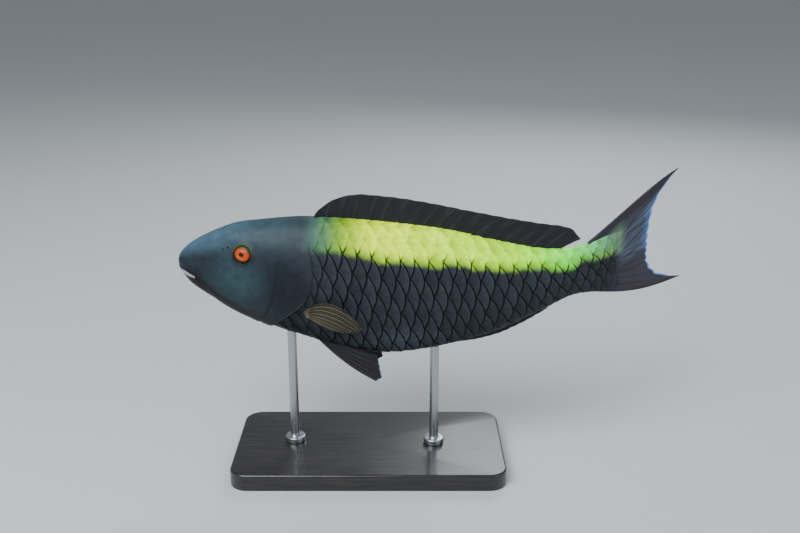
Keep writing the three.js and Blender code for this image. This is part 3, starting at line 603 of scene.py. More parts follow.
def skinMaterial():
    # Thick scaleless skin of a reef fish's head: satin from its slime coat, with fine pores and soft blotches
    material, add = newMaterial("slimeCoatedHeadSkin")
    place = add("objectPlace")
    blotch = add("noise", place, perWidth(16), 4.0)
    tone, _, _ = paintMarkings(add, add("times", add("minus", blotch, 0.5), 5.0))
    mottle = add("range", add("noise", place, perWidth(7), 5.0), 0.3, 0.7, 0.82, 1.2)
    tone = add("brighten", tone, mottle)
    speckle = add("softStep", add("noise", place, perWidth(1.1), 2.0), 0.62, 0.78)
    tone = add("blend", add("times", speckle, 0.14), tone, colour("#6b8088"))
    rise, ahead, shadedPit, orbit = (
        add("reading", attribute_name=name) for name in ("rise", "ahead", "shadedPit", "orbit")
    )
    # A dark olive lid round the eye, greener above
    upward = add("softStep", rise, eye["z"] - 3, eye["z"] + 5)
    lid = add("blend", upward, colour("#16180f"), colour("#3a4516"))
    tone = add("blend", add("times", add("softStep", orbit, *eye["lidEdge"]), eye["lidStrength"]), tone, lid)
    # Shade in the fold behind the gill cover, and a thin pale line on its free edge low down
    fold = add("times", add("softStep", ahead, -3.0, -0.3), add("softStep", ahead, 0.7, -0.2))
    tone = add("blend", add("times", fold, add("softStep", rise, 24.0, 12.0)), tone, colour("#08070a"))
    edge = add("times", add("softStep", ahead, 0.2, 0.8), add("softStep", ahead, 2.2, 1.2))
    edge = add("times", edge, add("times", add("softStep", rise, -18.0, -30.0), 0.25))
    tone = add("blend", edge, tone, colour("#5a6663"))
    # Painted shade, near black, in the gape of the mouth, the nostril pits and each eye's socket
    tone = add("blend", add("times", shadedPit, 0.75), tone, colour("#050406"))
    pores = add("ShaderNodeTexVoronoi", inputs={"Vector": place, "Scale": perWidth(1.1)})
    grain = add("plus", add("times", pores, 0.35), add("noise", place, perWidth(3.5), 4.0))
    add("finish", add("surface", inputs={
        "Base Color": tone, "Roughness": add("range", blotch, 0.0, 1.0, 0.44, 0.62),
        "Normal": add("relief", grain, 0.35, 0.25 * mm), "IOR": 1.38,
        "Specular IOR Level": 0.28, "Coat Weight": 0.04, "Coat Roughness": 0.35,
    }))
    return material


# The scales

scales = {
    "pitch": 11.9, "rowSpacing": 15.4, "length": 15.5, "lift": 1.0, "sunk": 0.35, "thickness": 0.45,
    "lean": 0.131, "phase": 204.4, "rowShift": -3.8, "patchShare": 0.88,
    "firstRow": -5, "lastRow": 6, "tailEnd": 393, "rightPhase": 5.0, "seed": 7,
    "firstStation": 100, "columns": (-10, 20), "backClear": 0.1, "bellyClear": 0.25, "gillClear": 3.5,
    "plateColumns": 8, "plateBacks": (0, 1.0, 2.8, 6.2, 10.6), "marginThinning": 0.2, "slopeSpan": 5,
    "edgeDrop": 0.18, "sideDrop": 0.3, "rootTaper": 0.15, "overhang": 0.1, "overlap": 1.02, "sharpAngle": 40,
    "napeFade": (112.0, 140.0), "napeReach": (42.0, 30.0), "napeSunk": 1.2,
    "tailFade": (378.0, 396.0), "tailSunk": 0.9,
}
# Station, way from the middle of the back down to the leading row, and spacing of the rows there
rowGuide = np.array([
    (100, 48, 14.0), (150, 51.5, 14.4), (190, 53.8, 15.4), (230, 49.3, 15.1), (278, 40.3, 13.6),
    (311, 30.6, 11.4), (345, 22, 9.4), (370, 22, 9.4), (400, 24, 9.6),
])


def rowAt(station):
    return tuple(np.interp(station, rowGuide[:, 0], rowGuide[:, k]) for k in (1, 2))


def scaleRoots():
    # Where each scale's rear edge lies on the unrolled body, for both flanks
    roots = []
    for side in (-1, 1):
        for row in range(scales["firstRow"], scales["lastRow"] + 1):
            start = scales["phase"] + scales["rowShift"] * row + (scales["rightPhase"] if side > 0 else 0)
            for column in range(*scales["columns"]):
                station = start + column * scales["pitch"]
                if not scales["firstStation"] < station < scales["tailEnd"]:
                    continue
                lead, spacing = rowAt(station)
                leadAfter, spacingAfter = rowAt(station + scales["slopeSpan"])
                down = lead + row * spacing
                slope = (leadAfter + row * spacingAfter - down) / scales["slopeSpan"]
                _, rise, way = halfGirth(station)
                highest, lowest = scales["backClear"] * spacing, way[-1] + scales["bellyClear"] * spacing
                if not highest <= down <= lowest:
                    continue
                height = float(np.interp(down, way, rise))
                if station < gillEdgeAt(height) + scales["gillClear"]:
                    continue
                roots.append((station, side * down, spacing, side * slope, row))
    return np.array(roots)


def scalePlate():
    # One scale lying flat, a closed shell: its rear edge is an arc at x = 0, and its root lies ahead of it
    columns, half = scales["plateColumns"], scales["rowSpacing"] * scales["overlap"]
    backs = [*scales["plateBacks"], scales["length"]]
    points, margin, across = [], [], []
    for t in backs:
        for j in range(columns + 1):
            v = 2 * j / columns - 1
            edge = -(scales["pitch"] / 2) * v * v
            crown = scales["lift"] * (1 - t / scales["length"]) - (scales["edgeDrop"] if t == 0 else 0)
            crown -= scales["sunk"] + scales["sideDrop"] * v**4
            points.append((edge - t * (1 - scales["rootTaper"] * v * v), v * half, crown))
            margin.append(t * (1 - scales["marginThinning"] * abs(v)))
            across.append(v)
    wide = columns + 1
    under = len(points)
    for j in range(wide):
        x, y, z = points[j]
        points.append((x - scales["overhang"], y, z - scales["thickness"]))
        margin.append(0)
        across.append(across[j])
    # On the plate's own map the top takes nine tenths of the length, and its edge and underside the rest
    faces, uv = [], []
    depth = scales["length"]
    for i in range(len(backs) - 1):
        for j in range(columns):
            a = i * wide + j
            faces.append((a, a + 1, a + 1 + wide, a + wide))
            lows = [(i, j), (i, j + 1), (i + 1, j + 1), (i + 1, j)]
            uv += [(0.1 + 0.9 * backs[p] / depth, q / columns) for p, q in lows]
    last = (len(backs) - 1) * wide
    for j in range(columns):
        faces.append((j, under + j, under + j + 1, j + 1))
        uv += [(0.08, j / columns), (0.05, j / columns), (0.05, (j + 1) / columns), (0.08, (j + 1) / columns)]
        faces.append((under + j, last + j, last + j + 1, under + j + 1))
        uv += [(0.04, j / columns), (0.0, j / columns), (0.0, (j + 1) / columns), (0.04, (j + 1) / columns)]
    for j in (0, columns):
        rim = [i * wide + j for i in range(len(backs))] + [under + j]
        faces.append(rim if j else rim[::-1])
        uv += [(0.01 + 0.03 * i / len(rim), 0.02 if j == 0 else 0.98) for i in range(len(rim))]
    attributes = {"margin": margin, "across": across}
    return makePiece("scalePlate", points, faces, None, attributes, uv, "plateUV", turnOut=True)


unrolling = {"start": 60, "end": 409, "step": 2.0, "reach": 1.24, "columns": 187}


def unrolledBody():
    # A sheet over the whole body whose map is its own unrolled place, reaching past the belly on both sides
    places = np.arange(unrolling["start"], unrolling["end"], unrolling["step"])
    shares = np.linspace(-unrolling["reach"], unrolling["reach"], unrolling["columns"])
    grid = np.zeros((len(places), len(shares), 3))
    flat = np.zeros((len(places), len(shares), 2))
    for i, station in enumerate(places):
        y, rise, way = halfGirth(min(station, skin["tailEnd"]))
        arc = shares * way[-1]
        over = np.abs(arc) > way[-1]
        inside = np.where(over, 2 * way[-1] - np.abs(arc), np.abs(arc))
        side = np.where(over, -np.sign(arc), np.sign(arc))
        grid[i] = bend(np.stack([np.full(len(arc), station), side * np.interp(inside, way, y),
                                 np.interp(inside, way, rise)], -1))
        flat[i] = np.stack([np.full(len(arc), station), arc], -1)
    rows, columns = flat.shape[:2]
    faces, uv = [], []
    spanned = flat * mm + (0, 0.5)  # in metres, with the middle of the back at a half
    for i in range(rows - 1):
        for j in range(columns - 1):
            corners = [(i, j), (i + 1, j), (i + 1, j + 1), (i, j + 1)]
            faces.append([p * columns + q for p, q in corners])
            uv += [spanned[p, q] for p, q in corners]
    return makePiece("unrolledBody", grid.reshape(-1, 3), faces, None, None, uv, "unrolled")


def scaleTree(plate, sheet, material):
    # Sets a plate on every root, lays them all on the body, and keeps each one's place for its colours
    tree = bpy.data.node_groups.new("scaleCoat", "GeometryNodeTree")
    for name, kind in (("Geometry", "Geometry"), ("Lean", "Float"), ("Unwrap Span", "Float"),
                       ("Patch Share", "Float"), ("Seed", "Int")):
        tree.interface.new_socket(name, in_out="INPUT", socket_type="NodeSocket" + kind)
    tree.interface.new_socket("Geometry", in_out="OUTPUT", socket_type="NodeSocketGeometry")
    add = partial(addNode, tree)
    given = add("NodeGroupInput").node.outputs
    spacing, rootX, rootY, slope = (
        add("named", name) for name in ("spacing", "rootStation", "rootArc", "slope")
    )
    tone = add("FunctionNodeRandomValue", inputs={"Seed": given["Seed"]}, out=1, data_type="FLOAT")
    shape = add("GeometryNodeObjectInfo", inputs={"Object": plate}, out="Geometry")
    coat = add("store", given["Geometry"], "tone", tone)
    coat = add("GeometryNodeInstanceOnPoints", inputs={
        "Points": coat, "Instance": shape,
        "Scale": add("vector", 1.0, add("over", spacing, scales["rowSpacing"]), 1.0),
    })
    coat = add("GeometryNodeRealizeInstances", inputs={"Geometry": coat})
    position = add("GeometryNodeInputPosition")
    place = add("ShaderNodeSeparateXYZ", inputs={0: position}).node.outputs
    # Rows lean backwards down the flank and follow its taper
    leaning = add("times", given["Lean"], add("sign", rootY))
    newX = add("timesPlus", add("minus", place[1], rootY), leaning, place[0])
    newY = add("timesPlus", add("minus", place[0], rootX), slope, place[1])
    station = add("over", newX, mm)
    # Plates sink into the skin on the nape and at the tail fin's root
    early = add("minus", 1.0, add("softStep", station, *scales["napeFade"]))
    way = add("size", add("over", place[1], mm))
    nape = add("times", early, add("softStep", way, *scales["napeReach"]))
    late = add("softStep", station, *scales["tailFade"])
    sunk = add("timesPlus", late, scales["tailSunk"] * mm, add("times", nape, scales["napeSunk"] * mm))
    coat = add("store", coat, "station", station)
    coat = add("store", coat, "height", add("minus", place[2], sunk))
    coat = add("store", coat, "proud", add("minus", 1.0, add("larger", nape, add("times", late, 0.7))))
    coat = add("move", coat, add("vector", newX, newY, place[2]))
    # The unwrap: each plate is a patch of its own at its root's place
    patch = add("named", "plateUV", data_type="FLOAT_VECTOR")
    patch = add("ShaderNodeSeparateXYZ", inputs={0: patch}).node.outputs
    share = add("over", given["Patch Share"], given["Unwrap Span"])
    long = add("times", share, scales["pitch"] * mm)
    wide = add("times", share, add("times", spacing, mm))
    u = add("minus", add("over", rootX, given["Unwrap Span"]), add("times", patch[0], long))
    v = add("timesPlus", add("minus", patch[1], 0.5), wide, add("over", rootY, given["Unwrap Span"]))
    unwrap = add("vector", u, add("plus", v, 0.5))
    coat = add("store", coat, "OFBake", unwrap, data_type="FLOAT2", domain="CORNER")
    # Laying the flat coat on the body
    ground = add("GeometryNodeObjectInfo", inputs={"Object": sheet}, out="Geometry")
    foot, facing = (
        add("GeometryNodeSampleUVSurface", data_type="FLOAT_VECTOR", inputs={
            "Mesh": ground, "Value": value,
            "Source UV Map": add("named", "unrolled", data_type="FLOAT_VECTOR"),
            "Sample UV": add("shift", position, (0, 0.5, 0)),
        })
        for value in (position, add("GeometryNodeInputNormal"))
    )
    raised = add("ShaderNodeVectorMath", inputs={0: add("unit", facing), "Scale": add("named", "height")},
                 operation="SCALE")
    coat = add("move", coat, add("shift", foot, raised))
    coat = add("GeometryNodeSetMaterial", inputs={"Geometry": coat, "Material": material})
    add("NodeGroupOutput", inputs={0: coat})
    return tree


def buildScales(material):
    roots = scaleRoots()
    flat = np.stack([roots[:, 0], roots[:, 1], np.zeros(len(roots))], -1)
    attributes = {
        "rootStation": roots[:, 0] * mm, "rootArc": roots[:, 1] * mm,
        "spacing": roots[:, 2], "slope": roots[:, 3],
    }
    carrier = makePiece("scaleRoots", flat, [], None, attributes)
    plate, sheet = scalePlate(), unrolledBody()
    tree = scaleTree(plate, sheet, material)
    modifier = carrier.modifiers.new("scaleCoat", "NODES")
    modifier.node_group = tree
    values = {
        "Lean": scales["lean"], "Unwrap Span": skin["unwrapSpan"] * mm, "Patch Share": scales["patchShare"],
        "Seed": scales["seed"],
    }
    for item in tree.interface.items_tree:
        if item.name in values:
            modifier[item.identifier] = values[item.name]
    mesh = bpy.data.meshes.new_from_object(carrier.evaluated_get(bpy.context.evaluated_depsgraph_get()))
    mesh.name = "scales"
    count = len(mesh.vertices)
    places = np.empty(count * 3, np.float32)
    mesh.vertices.foreach_get("co", places)
    rise = places[2::3] / mm - body["snoutHeight"]
    station = np.empty(count, np.float32)
    mesh.attributes["station"].data.foreach_get("value", station)
    back, belly, _ = bodyAt(station)
    for name, values in (("rise", rise), ("level", (rise - belly) / (back - belly))):
        mesh.attributes.new(name, "FLOAT", "POINT").data.foreach_set("value", values.astype(np.float32))
    if not mesh.materials:
        mesh.materials.append(material)
    mesh.polygons.foreach_set("use_smooth", [True] * len(mesh.polygons))
    mesh.set_sharp_from_angle(angle=math.radians(scales["sharpAngle"]))
    coat = bpy.data.objects.new("scales", mesh)
    bpy.context.scene.collection.objects.link(coat)
    for helper in (carrier, plate, sheet):
        bpy.data.objects.remove(helper)
    print("scales:", len(roots), "plates,", len(mesh.polygons), "faces")
    return coat


def scaleMaterial():
    # Large bony cycloid scales under thin skin: satin, ringed with growth lines, each with a dark rear margin
    material, add = newMaterial("cycloidScale")
    place = add("objectPlace")
    margin, across, own, proud, station = (
        add("reading", attribute_name=name) for name in ("margin", "across", "tone", "proud", "station")
    )
    drift = add("times", add("minus", add("noise", place, perWidth(9), 3.0), 0.5), 5.0)
    tone, yellow, above = paintMarkings(add, add("timesPlus", add("minus", own, 0.5), 3.0, drift))
    # Blotches, a tone for each scale, and a brighter rear half
    mottle = add("range", add("noise", place, perWidth(4), 5.0), 0.3, 0.7, 0.82, 1.2)
    each = add("times", add("range", own, 0.0, 1.0, 0.84, 1.14), add("range", margin, 2.0, 9.0, 1.18, 0.8))
    tone = add("brighten", tone, add("times", mottle, each))
    # Rear margins are near black, but thin and pale in the upper part of the yellow band
    rim = add("timesPlus", add("minus", add("noise", place, perWidth(2.5), 2.0), 0.5), 0.7, margin)
    inBand = add("times", yellow, add("softStep", above, 2.0, 9.0))
    bare = add("minus", 1.0, add("times", inBand, add("range", station, 118.0, 145.0, 0.5, 1.0)))
    darkest = add("times", proud, add("range", station, 112.0, 145.0, 0.6, 0.95))
    darkRim = add("times", add("times", add("softStep", rim, 1.5, 0.85), bare), darkest)
    tone = add("blend", darkRim, tone, colour("#050507"))
    paleRim = add("times", add("softStep", rim, 1.2, 0.5), add("times", inBand, 0.3))
    middle = add("times", add("softStep", station, 132.0, 165.0), add("softStep", station, 345.0, 290.0))
    paleRim = add("times", paleRim, middle)
    tone = add("blend", paleRim, tone, colour("#f4ff30"))
    rings = add("times", add("sine", add("times", margin, 9.0)), 0.18)
    rays = add("times", add("sine", add("times", across, 46.0)), 0.14)
    relief = add("plus", add("plus", rings, rays), add("noise", place, perWidth(2), 4.0))
    add("finish", add("surface", inputs={
        "Base Color": tone, "Roughness": add("range", own, 0.0, 1.0, 0.42, 0.56),
        "Normal": add("relief", relief, 0.4, 0.2 * mm), "IOR": 1.42,
        "Specular IOR Level": 0.12, "Coat Weight": 0.02, "Coat Roughness": 0.32,
    }))
    return material


# The fins

dorsal = {
    "spines": 9, "softRays": 10, "start": 121, "end": 327, "sink": 4, "bow": (-1.5, 0, 1.5),
    "top": [
        (127, 51), (138, 59), (150, 63.2), (164, 64.6), (205, 60), (261, 49), (311, 39.4), (341, 33.4),
        (353, 22),
    ],
}
anal = {
    "rays": 12, "start": 236, "end": 306, "tipStart": 246, "tipEnd": 326, "height": 5, "sink": 3,
    "swellSpan": (0.12, 0.85),
}
caudal = {
    "rays": 13, "rootX": 389, "rootTop": 15, "rootBottom": -25, "rootSweep": 32,
    "upperTip": (477, 69), "lowerTip": (496, -39.5), "fork": (434, 5), "upperBow": 17, "lowerBow": -9,
    "tipSweep": 3.9, "tipSpread": 1.2,
}
pectoral = {
    "rays": 14, "root": (116, -34), "rootLength": 4, "rootLean": 1.5, "longest": 51, "shortest": 34.5,
    "upperAngle": -5, "lowerAngle": -18, "upperRise": 0.6, "lowerRise": -0.13, "flare": 27, "swell": 0.08,
    "shortening": 1.4, "spineShare": 0.93, "lowerFlareShare": 0.75, "rootSunk": 1.5,
}
pelvic = {
    "rays": 6, "root": (120, 9), "rootLength": 14, "sink": 6, "tip": (180, -97.5), "rear": (176, -73),
    "flare": 15, "rearFlare": 12, "bow": (2, -7), "spineBack": 5, "spineLift": 1.5, "rearFall": 1.5,
}
# How the rays show in every fin's skin
finLook = {
    "forkSpread": 0.2, "rayWidth": (0.13, 0.09), "scallopStart": 0.05, "thinnest": 0.6, "rippleTurns": 2.1,
    "fleshyShare": 0.25, "tipShare": 0.4, "ripple": 0.25,
}


def raysFrom(starts, ends, bows):
    # Each ray as three points of a bowed line: root, pull and tip
    starts, ends, bows = (np.asarray(v, float) for v in (starts, ends, bows))
    return np.stack([starts, (starts + ends) / 2 + bows, ends], 1)


def dorsalRays():
    count = dorsal["spines"] + dorsal["softRays"]
    fine = alongSpline(dorsal["top"], np.linspace(0, 1, 2001))
    way = np.concatenate([[0], np.cumsum(np.linalg.norm(np.diff(fine, axis=0), axis=1))])
    starts, ends = [], []
    for i in range(count):
        share = i / (count - 1)
        x = mix(dorsal["start"], dorsal["end"], share)
        tip = [np.interp(share * way[-1], way, fine[:, k]) for k in (0, 1)]
        starts.append((x, 0, bodyAt(x)[0] - dorsal["sink"]))
        ends.append((tip[0], 0, tip[1]))
    return raysFrom(starts, ends, [dorsal["bow"]] * count)


def analRays():
    starts, ends = [], []
    for i in range(anal["rays"]):
        share = i / (anal["rays"] - 1)
        x = mix(anal["start"], anal["end"], share)
        tipX = mix(anal["tipStart"], anal["tipEnd"], share)
        swell = math.sin(math.pi * mix(*anal["swellSpan"], share))
        starts.append((x, 0, bodyAt(x)[1] + anal["sink"]))
        ends.append((tipX, 0, bodyAt(tipX)[1] - anal["height"] * swell))
    return raysFrom(starts, ends, np.zeros((anal["rays"], 3)))


def caudalRays():
    starts, ends, bows = [], [], []
    for i in range(caudal["rays"]):
        share = i / (caudal["rays"] - 1)
        side = 2 * share - 1
        lobe = caudal["upperTip"] if side < 0 else caudal["lowerTip"]
        spread = abs(side)
        tipX = mix(caudal["fork"][0], lobe[0], spread ** caudal["tipSweep"])
        tipZ = mix(caudal["fork"][1], lobe[1], spread ** caudal["tipSpread"])
        rootX = caudal["rootX"] - caudal["rootSweep"] * spread**3
        starts.append((rootX, 0, mix(caudal["rootTop"], caudal["rootBottom"], share)))
        ends.append((tipX, 0, tipZ))
        bows.append((0, 0, (caudal["upperBow"] if side < 0 else caudal["lowerBow"]) * spread**2))
    return raysFrom(starts, ends, bows)


def pectoralRays(side):
    starts, ends, bows = [], [], []
    for i in range(pectoral["rays"]):
        share = i / (pectoral["rays"] - 1)
        angle = math.radians(mix(pectoral["upperAngle"], pectoral["lowerAngle"], share))
        length = mix(pectoral["longest"], pectoral["shortest"], share ** pectoral["shortening"])
        length *= pectoral["spineShare"] if i == 0 else 1
        out = math.tan(math.radians(pectoral["flare"])) * mix(1, pectoral["lowerFlareShare"], share)
        x = pectoral["root"][0] + share * pectoral["rootLean"]
        z = pectoral["root"][1] + pectoral["rootLength"] * (0.5 - share)
        y = side * (float(halfWidthAt(x, z)) - pectoral["rootSunk"])
        reach = length * math.cos(angle)
        rise = mix(pectoral["upperRise"], pectoral["lowerRise"], share)
        starts.append((x, y, z))
        ends.append((x + reach, y + side * reach * out, z + length * math.sin(angle)))
        bows.append((0, side * length * pectoral["swell"], length * rise))
    return raysFrom(starts, ends, bows)


def pelvicRays(side):
    starts, ends, bows = [], [], []
    (rootX, rootY), tip, rear = pelvic["root"], pelvic["tip"], pelvic["rear"]
    for i in range(pelvic["rays"]):
        share = i / (pelvic["rays"] - 1)
        x = rootX + pelvic["rootLength"] * share
        starts.append((x, side * rootY, float(bodyAt(x)[1]) + pelvic["sink"]))
        ends.append((
            mix(tip[0], rear[0], share ** pelvic["rearFall"]) - (pelvic["spineBack"] if i == 0 else 0),
            side * (rootY + mix(pelvic["flare"], pelvic["rearFlare"], share)),
            mix(tip[1], rear[1], share) + (pelvic["spineLift"] if i == 0 else 0),
        ))
        bows.append((0, side * pelvic["bow"][0], pelvic["bow"][1] * (1 - share)))
    return raysFrom(starts, ends, bows)


def finSheet(name, rays, material, rows=30, perGap=10, ray=1.5, membrane=0.7, root=1.5, notch=0.04,
             branchFrom=0.4, spines=0):
    # A closed sheet: ridges along the rays, which fork towards their tips, and thin skin between them
    count = len(rays)
    at = np.linspace(0, count - 1, (count - 1) * perGap + 1)
    v = np.linspace(0, 1, rows + 1)
    fraction = np.abs(at - np.round(at))  # 0 on a ray, a half between two
    lines = alongSpline(rays, at / (count - 1))
    scallop = 1 - notch * ease(fraction, finLook["scallopStart"], 0.5)
    reach = scallop[:, None] * v[None]
    w = reach[..., None]
    place = (1 - w) ** 2 * lines[:, None, 0] + 2 * w * (1 - w) * lines[:, None, 1] + w**2 * lines[:, None, 2]
    forked = (np.round(at) >= spines)[:, None]
    fork = finLook["forkSpread"] * ease(v, branchFrom, 1)[None] * forked
    sharp = mix(*finLook["rayWidth"], v)[None]
    ridge = bump(fraction[:, None] - fork, sharp) + bump(fraction[:, None] + fork, sharp) * forked
    ridge = np.minimum(ridge, 1)
    normal = np.cross(np.gradient(place, axis=0), np.gradient(place, axis=1))
    normal /= np.maximum(np.linalg.norm(normal, axis=-1, keepdims=True), 1e-9)
    fleshy = root * np.maximum(0, 1 - v / finLook["fleshyShare"]) ** 2
    taper = mix(1, finLook["tipShare"], v)
    half = (mix(membrane * np.maximum(taper, finLook["thinnest"]), ray * taper, ridge) + fleshy) / 2
    wave = finLook["ripple"] * np.sin(at * finLook["rippleTurns"])[:, None] * v[None] ** 1.5 * (1 - ridge)
    sheets = [bend(place + normal * (wave + sign * half)[..., None]).reshape(-1, 3) for sign in (1, -1)]
    faces = sheetFaces(len(at) - 1, rows)
    attributes = {
        "along": np.tile(np.broadcast_to(v, reach.shape).ravel(), 2),
        "across": np.tile(np.repeat(at, rows + 1), 2),
        "ridge": np.tile(ridge.ravel(), 2),
        "share": np.tile(np.repeat(at / (count - 1), rows + 1), 2),
        "station": np.tile(place[..., 0].ravel(), 2),
        "rise": np.tile(place[..., 2].ravel(), 2),
    }
    return makePiece(name, np.concatenate(sheets), faces, material, attributes, turnOut=True)


def finParts(add):
    # Place along the rays, how much of a ridge it is, place over the fin, and streaks that run with the rays
    along, across, ridge, share = (
        add("reading", attribute_name=name) for name in ("along", "across", "ridge", "share")
    )
    grain = add("vector", add("times", across, 5.0), add("times", along, 1.6))
    return along, ridge, share, add("noise", grain, 1.0, 4.0)


def finSurface(add, tone, along, ridge, streaks, roughness, coat, alpha=1.0, jointDepth=0.25):
    # Each ray has some thirty fine joints along it
    joints = add("times", add("times", add("sine", add("times", along, 210.0)), ridge), jointDepth)
    relief = add("relief", add("plus", streaks, joints), 0.45, 0.25 * mm)
    add("finish", add("surface", inputs={
        "Base Color": tone, "Roughness": roughness, "Normal": relief,
        "IOR": 1.4, "Coat Weight": coat, "Coat Roughness": 0.3, "Alpha": alpha,
    }))


def darkFinMaterial(name, tones):
    # Fin skin over bony rays: near black with a maroon cast, paler in streaks along the ridges
    material, add = newMaterial(name)
    along, ridge, _, streaks = finParts(add)
    tone = add("blend", add("softStep", streaks, 0.35, 0.7), colour(tones["deep"]), colour(tones["warm"]))
    lifted = add("times", add("times", ridge, 0.45), add("softStep", streaks, 0.4, 0.62))
    tone = add("blend", lifted, tone, colour(tones["ray"]))
    rim = add("times", add("softStep", along, 0.955, 0.99), tones["rimStrength"])
    finSurface(add, add("blend", rim, tone, colour(tones["rim"])), along, ridge, streaks, 0.55, 0.05)
    return material


def tailFinMaterial():
    # Tail fin: maroon leading edges, grey-violet skin with pale streaks, a thin blue trailing edge,
    # and grey-green scales that run out over its root
    material, add = newMaterial("tailFinSkin")
    along, ridge, share, streaks = finParts(add)
    station, rise = (add("reading", attribute_name=name) for name in ("station", "rise"))
    inner = add("blend", add("softStep", streaks, 0.4, 0.68), colour("#2c2e37"), colour("#5f7084"))
    inner = add("blend", add("times", ridge, 0.3), inner, colour("#2e2531"))
    fromMiddle = add("size", add("minus", share, 0.5))
    lower = add("times", add("softStep", share, 0.5, 0.62), 0.85)
    leading = add("larger", add("softStep", fromMiddle, 0.3, 0.44), lower)
    tone = add("blend", leading, inner, add("blend", streaks, colour("#1c151d"), colour("#3a2d3a")))
    milky = add("times", add("softStep", along, 0.74, 0.97), add("softStep", share, 0.62, 0.42))
    milky = add("times", milky, add("times", add("softStep", share, 0.06, 0.2), 0.45))
    tone = add("blend", milky, tone, colour("#5c84c8"))
    rim = add("times", add("softStep", along, 0.955, 0.98), add("softStep", fromMiddle, 0.47, 0.4))
    tone = add("blend", rim, tone, colour("#6ea8ff"))
    scaled = add("softStep", add("timesPlus", streaks, 26.0, station), 416.0, 404.0)
    pale = add("blend", streaks, colour("#4a6a54"), colour("#86a880"))
    upper = add("times", add("softStep", rise, 0.0, 7.0), add("softStep", share, 0.04, 0.14))
    base = add("blend", upper, colour(markings["tailDark"]), pale)
    finSurface(add, add("blend", scaled, tone, base), along, ridge, streaks, 0.5, 0.08)
    return material


def pectoralMaterial():
    # Pectoral fin: a thin clear brown film between pale tan rays, with a pale fleshy root and a dark top edge
    material, add = newMaterial("pectoralFinFilm")
    along, ridge, share, streaks = finParts(add)
    film = add("blend", streaks, colour("#28251d"), colour("#302b20"))
    # Every other ray is the paler
    turn = add("timesPlus", share, math.pi * (pectoral["rays"] - 1), math.pi / 2)
    paler = add("range", add("sine", turn), -1.0, 1.0, 0.3, 1.0)
    rays = add("times", add("softStep", ridge, 0.5, 1.0), paler)
    tone = add("blend", add("times", rays, 0.75), film, colour("#8f8259"))
    top = add("softStep", share, 0.1, 0.02)
    tone = add("blend", add("times", top, 0.85), tone, colour("#1f1a17"))
    foot = add("softStep", along, 0.13, 0.0)
    tone = add("blend", add("times", foot, 0.8), tone, colour("#8f8a6c"))
    solid = add("larger", add("larger", rays, top), foot)
    alpha = add("range", solid, 0.0, 1.0, 0.5, 0.85)
    finSurface(add, tone, along, ridge, ridge, 0.5, 0.05, alpha, 0.0)
    return material


# The eyes and the teeth

eyeLook = {
    "rings": 26, "backRings": 9, "sides": 72, "clearance": 0.05, "shorter": 0.5, "tilt": 22,
    "pupil": 2.3, "pupilSquash": 0.72, "pupilSunk": 0.12, "pupilWall": (0.75, 1.15),
    "iris": 6.5, "irisSquash": 0.78, "irisLow": -0.2,
    "irisSwell": 0.12, "swellPlace": 1.5, "swellWidth": 0.35,
}


def buildEye(side, material):
    centre, axis = onSkin(eye["x"], eye["z"], side)
    right, up = acrossAxis(axis)
    radius, depth = eye["radius"] - eyeLook["clearance"], eye["depth"] - eyeLook["shorter"]
    dome, sides = eye["dome"], eyeLook["sides"]
    profile = []
    for i in range(1, eyeLook["rings"] + 1):
        r = i / eyeLook["rings"]
        profile.append((r, dome * math.sqrt(max(0, 1 - r * r))))
    for i in range(1, eyeLook["backRings"]):
        turn = i / eyeLook["backRings"] * math.pi / 2
        profile.append((math.cos(turn), -depth * math.sin(turn)))
    points, flat = [], []
    for r, h in profile:
        for j in range(sides):
            x, y = (r * radius * f(2 * math.pi * j / sides) for f in (math.cos, math.sin))
            # The pupil is a little oval and sunk, and the iris swells round it
            inner = math.hypot(x, y / eyeLook["pupilSquash"]) / eyeLook["pupil"]
            lens = eyeLook["irisSwell"] * float(bump(inner - eyeLook["swellPlace"], eyeLook["swellWidth"]))
            lens -= eyeLook["pupilSunk"] * (1 - float(ease(inner, *eyeLook["pupilWall"])))
            points.append(centre + axis * (h - eye["sunk"] + (lens if h > 0 else 0)) + right * x + up * y)
            flat.append((-side * x, y))  # the first runs backwards on both sides
    points.append(centre + axis * (dome - eyeLook["pupilSunk"] - eye["sunk"]))
    points.append(centre - axis * (depth + eye["sunk"]))
    flat += [(0, 0), (0, 0)]
    faces = ringFaces(len(profile), sides)
    attributes = {"eyeX": [p[0] for p in flat], "eyeY": [p[1] for p in flat]}
    name = "eyeball_left" if side < 0 else "eyeball_right"
    return makePiece(name, bend(np.array(points)), faces, material, attributes, turnOut=True)


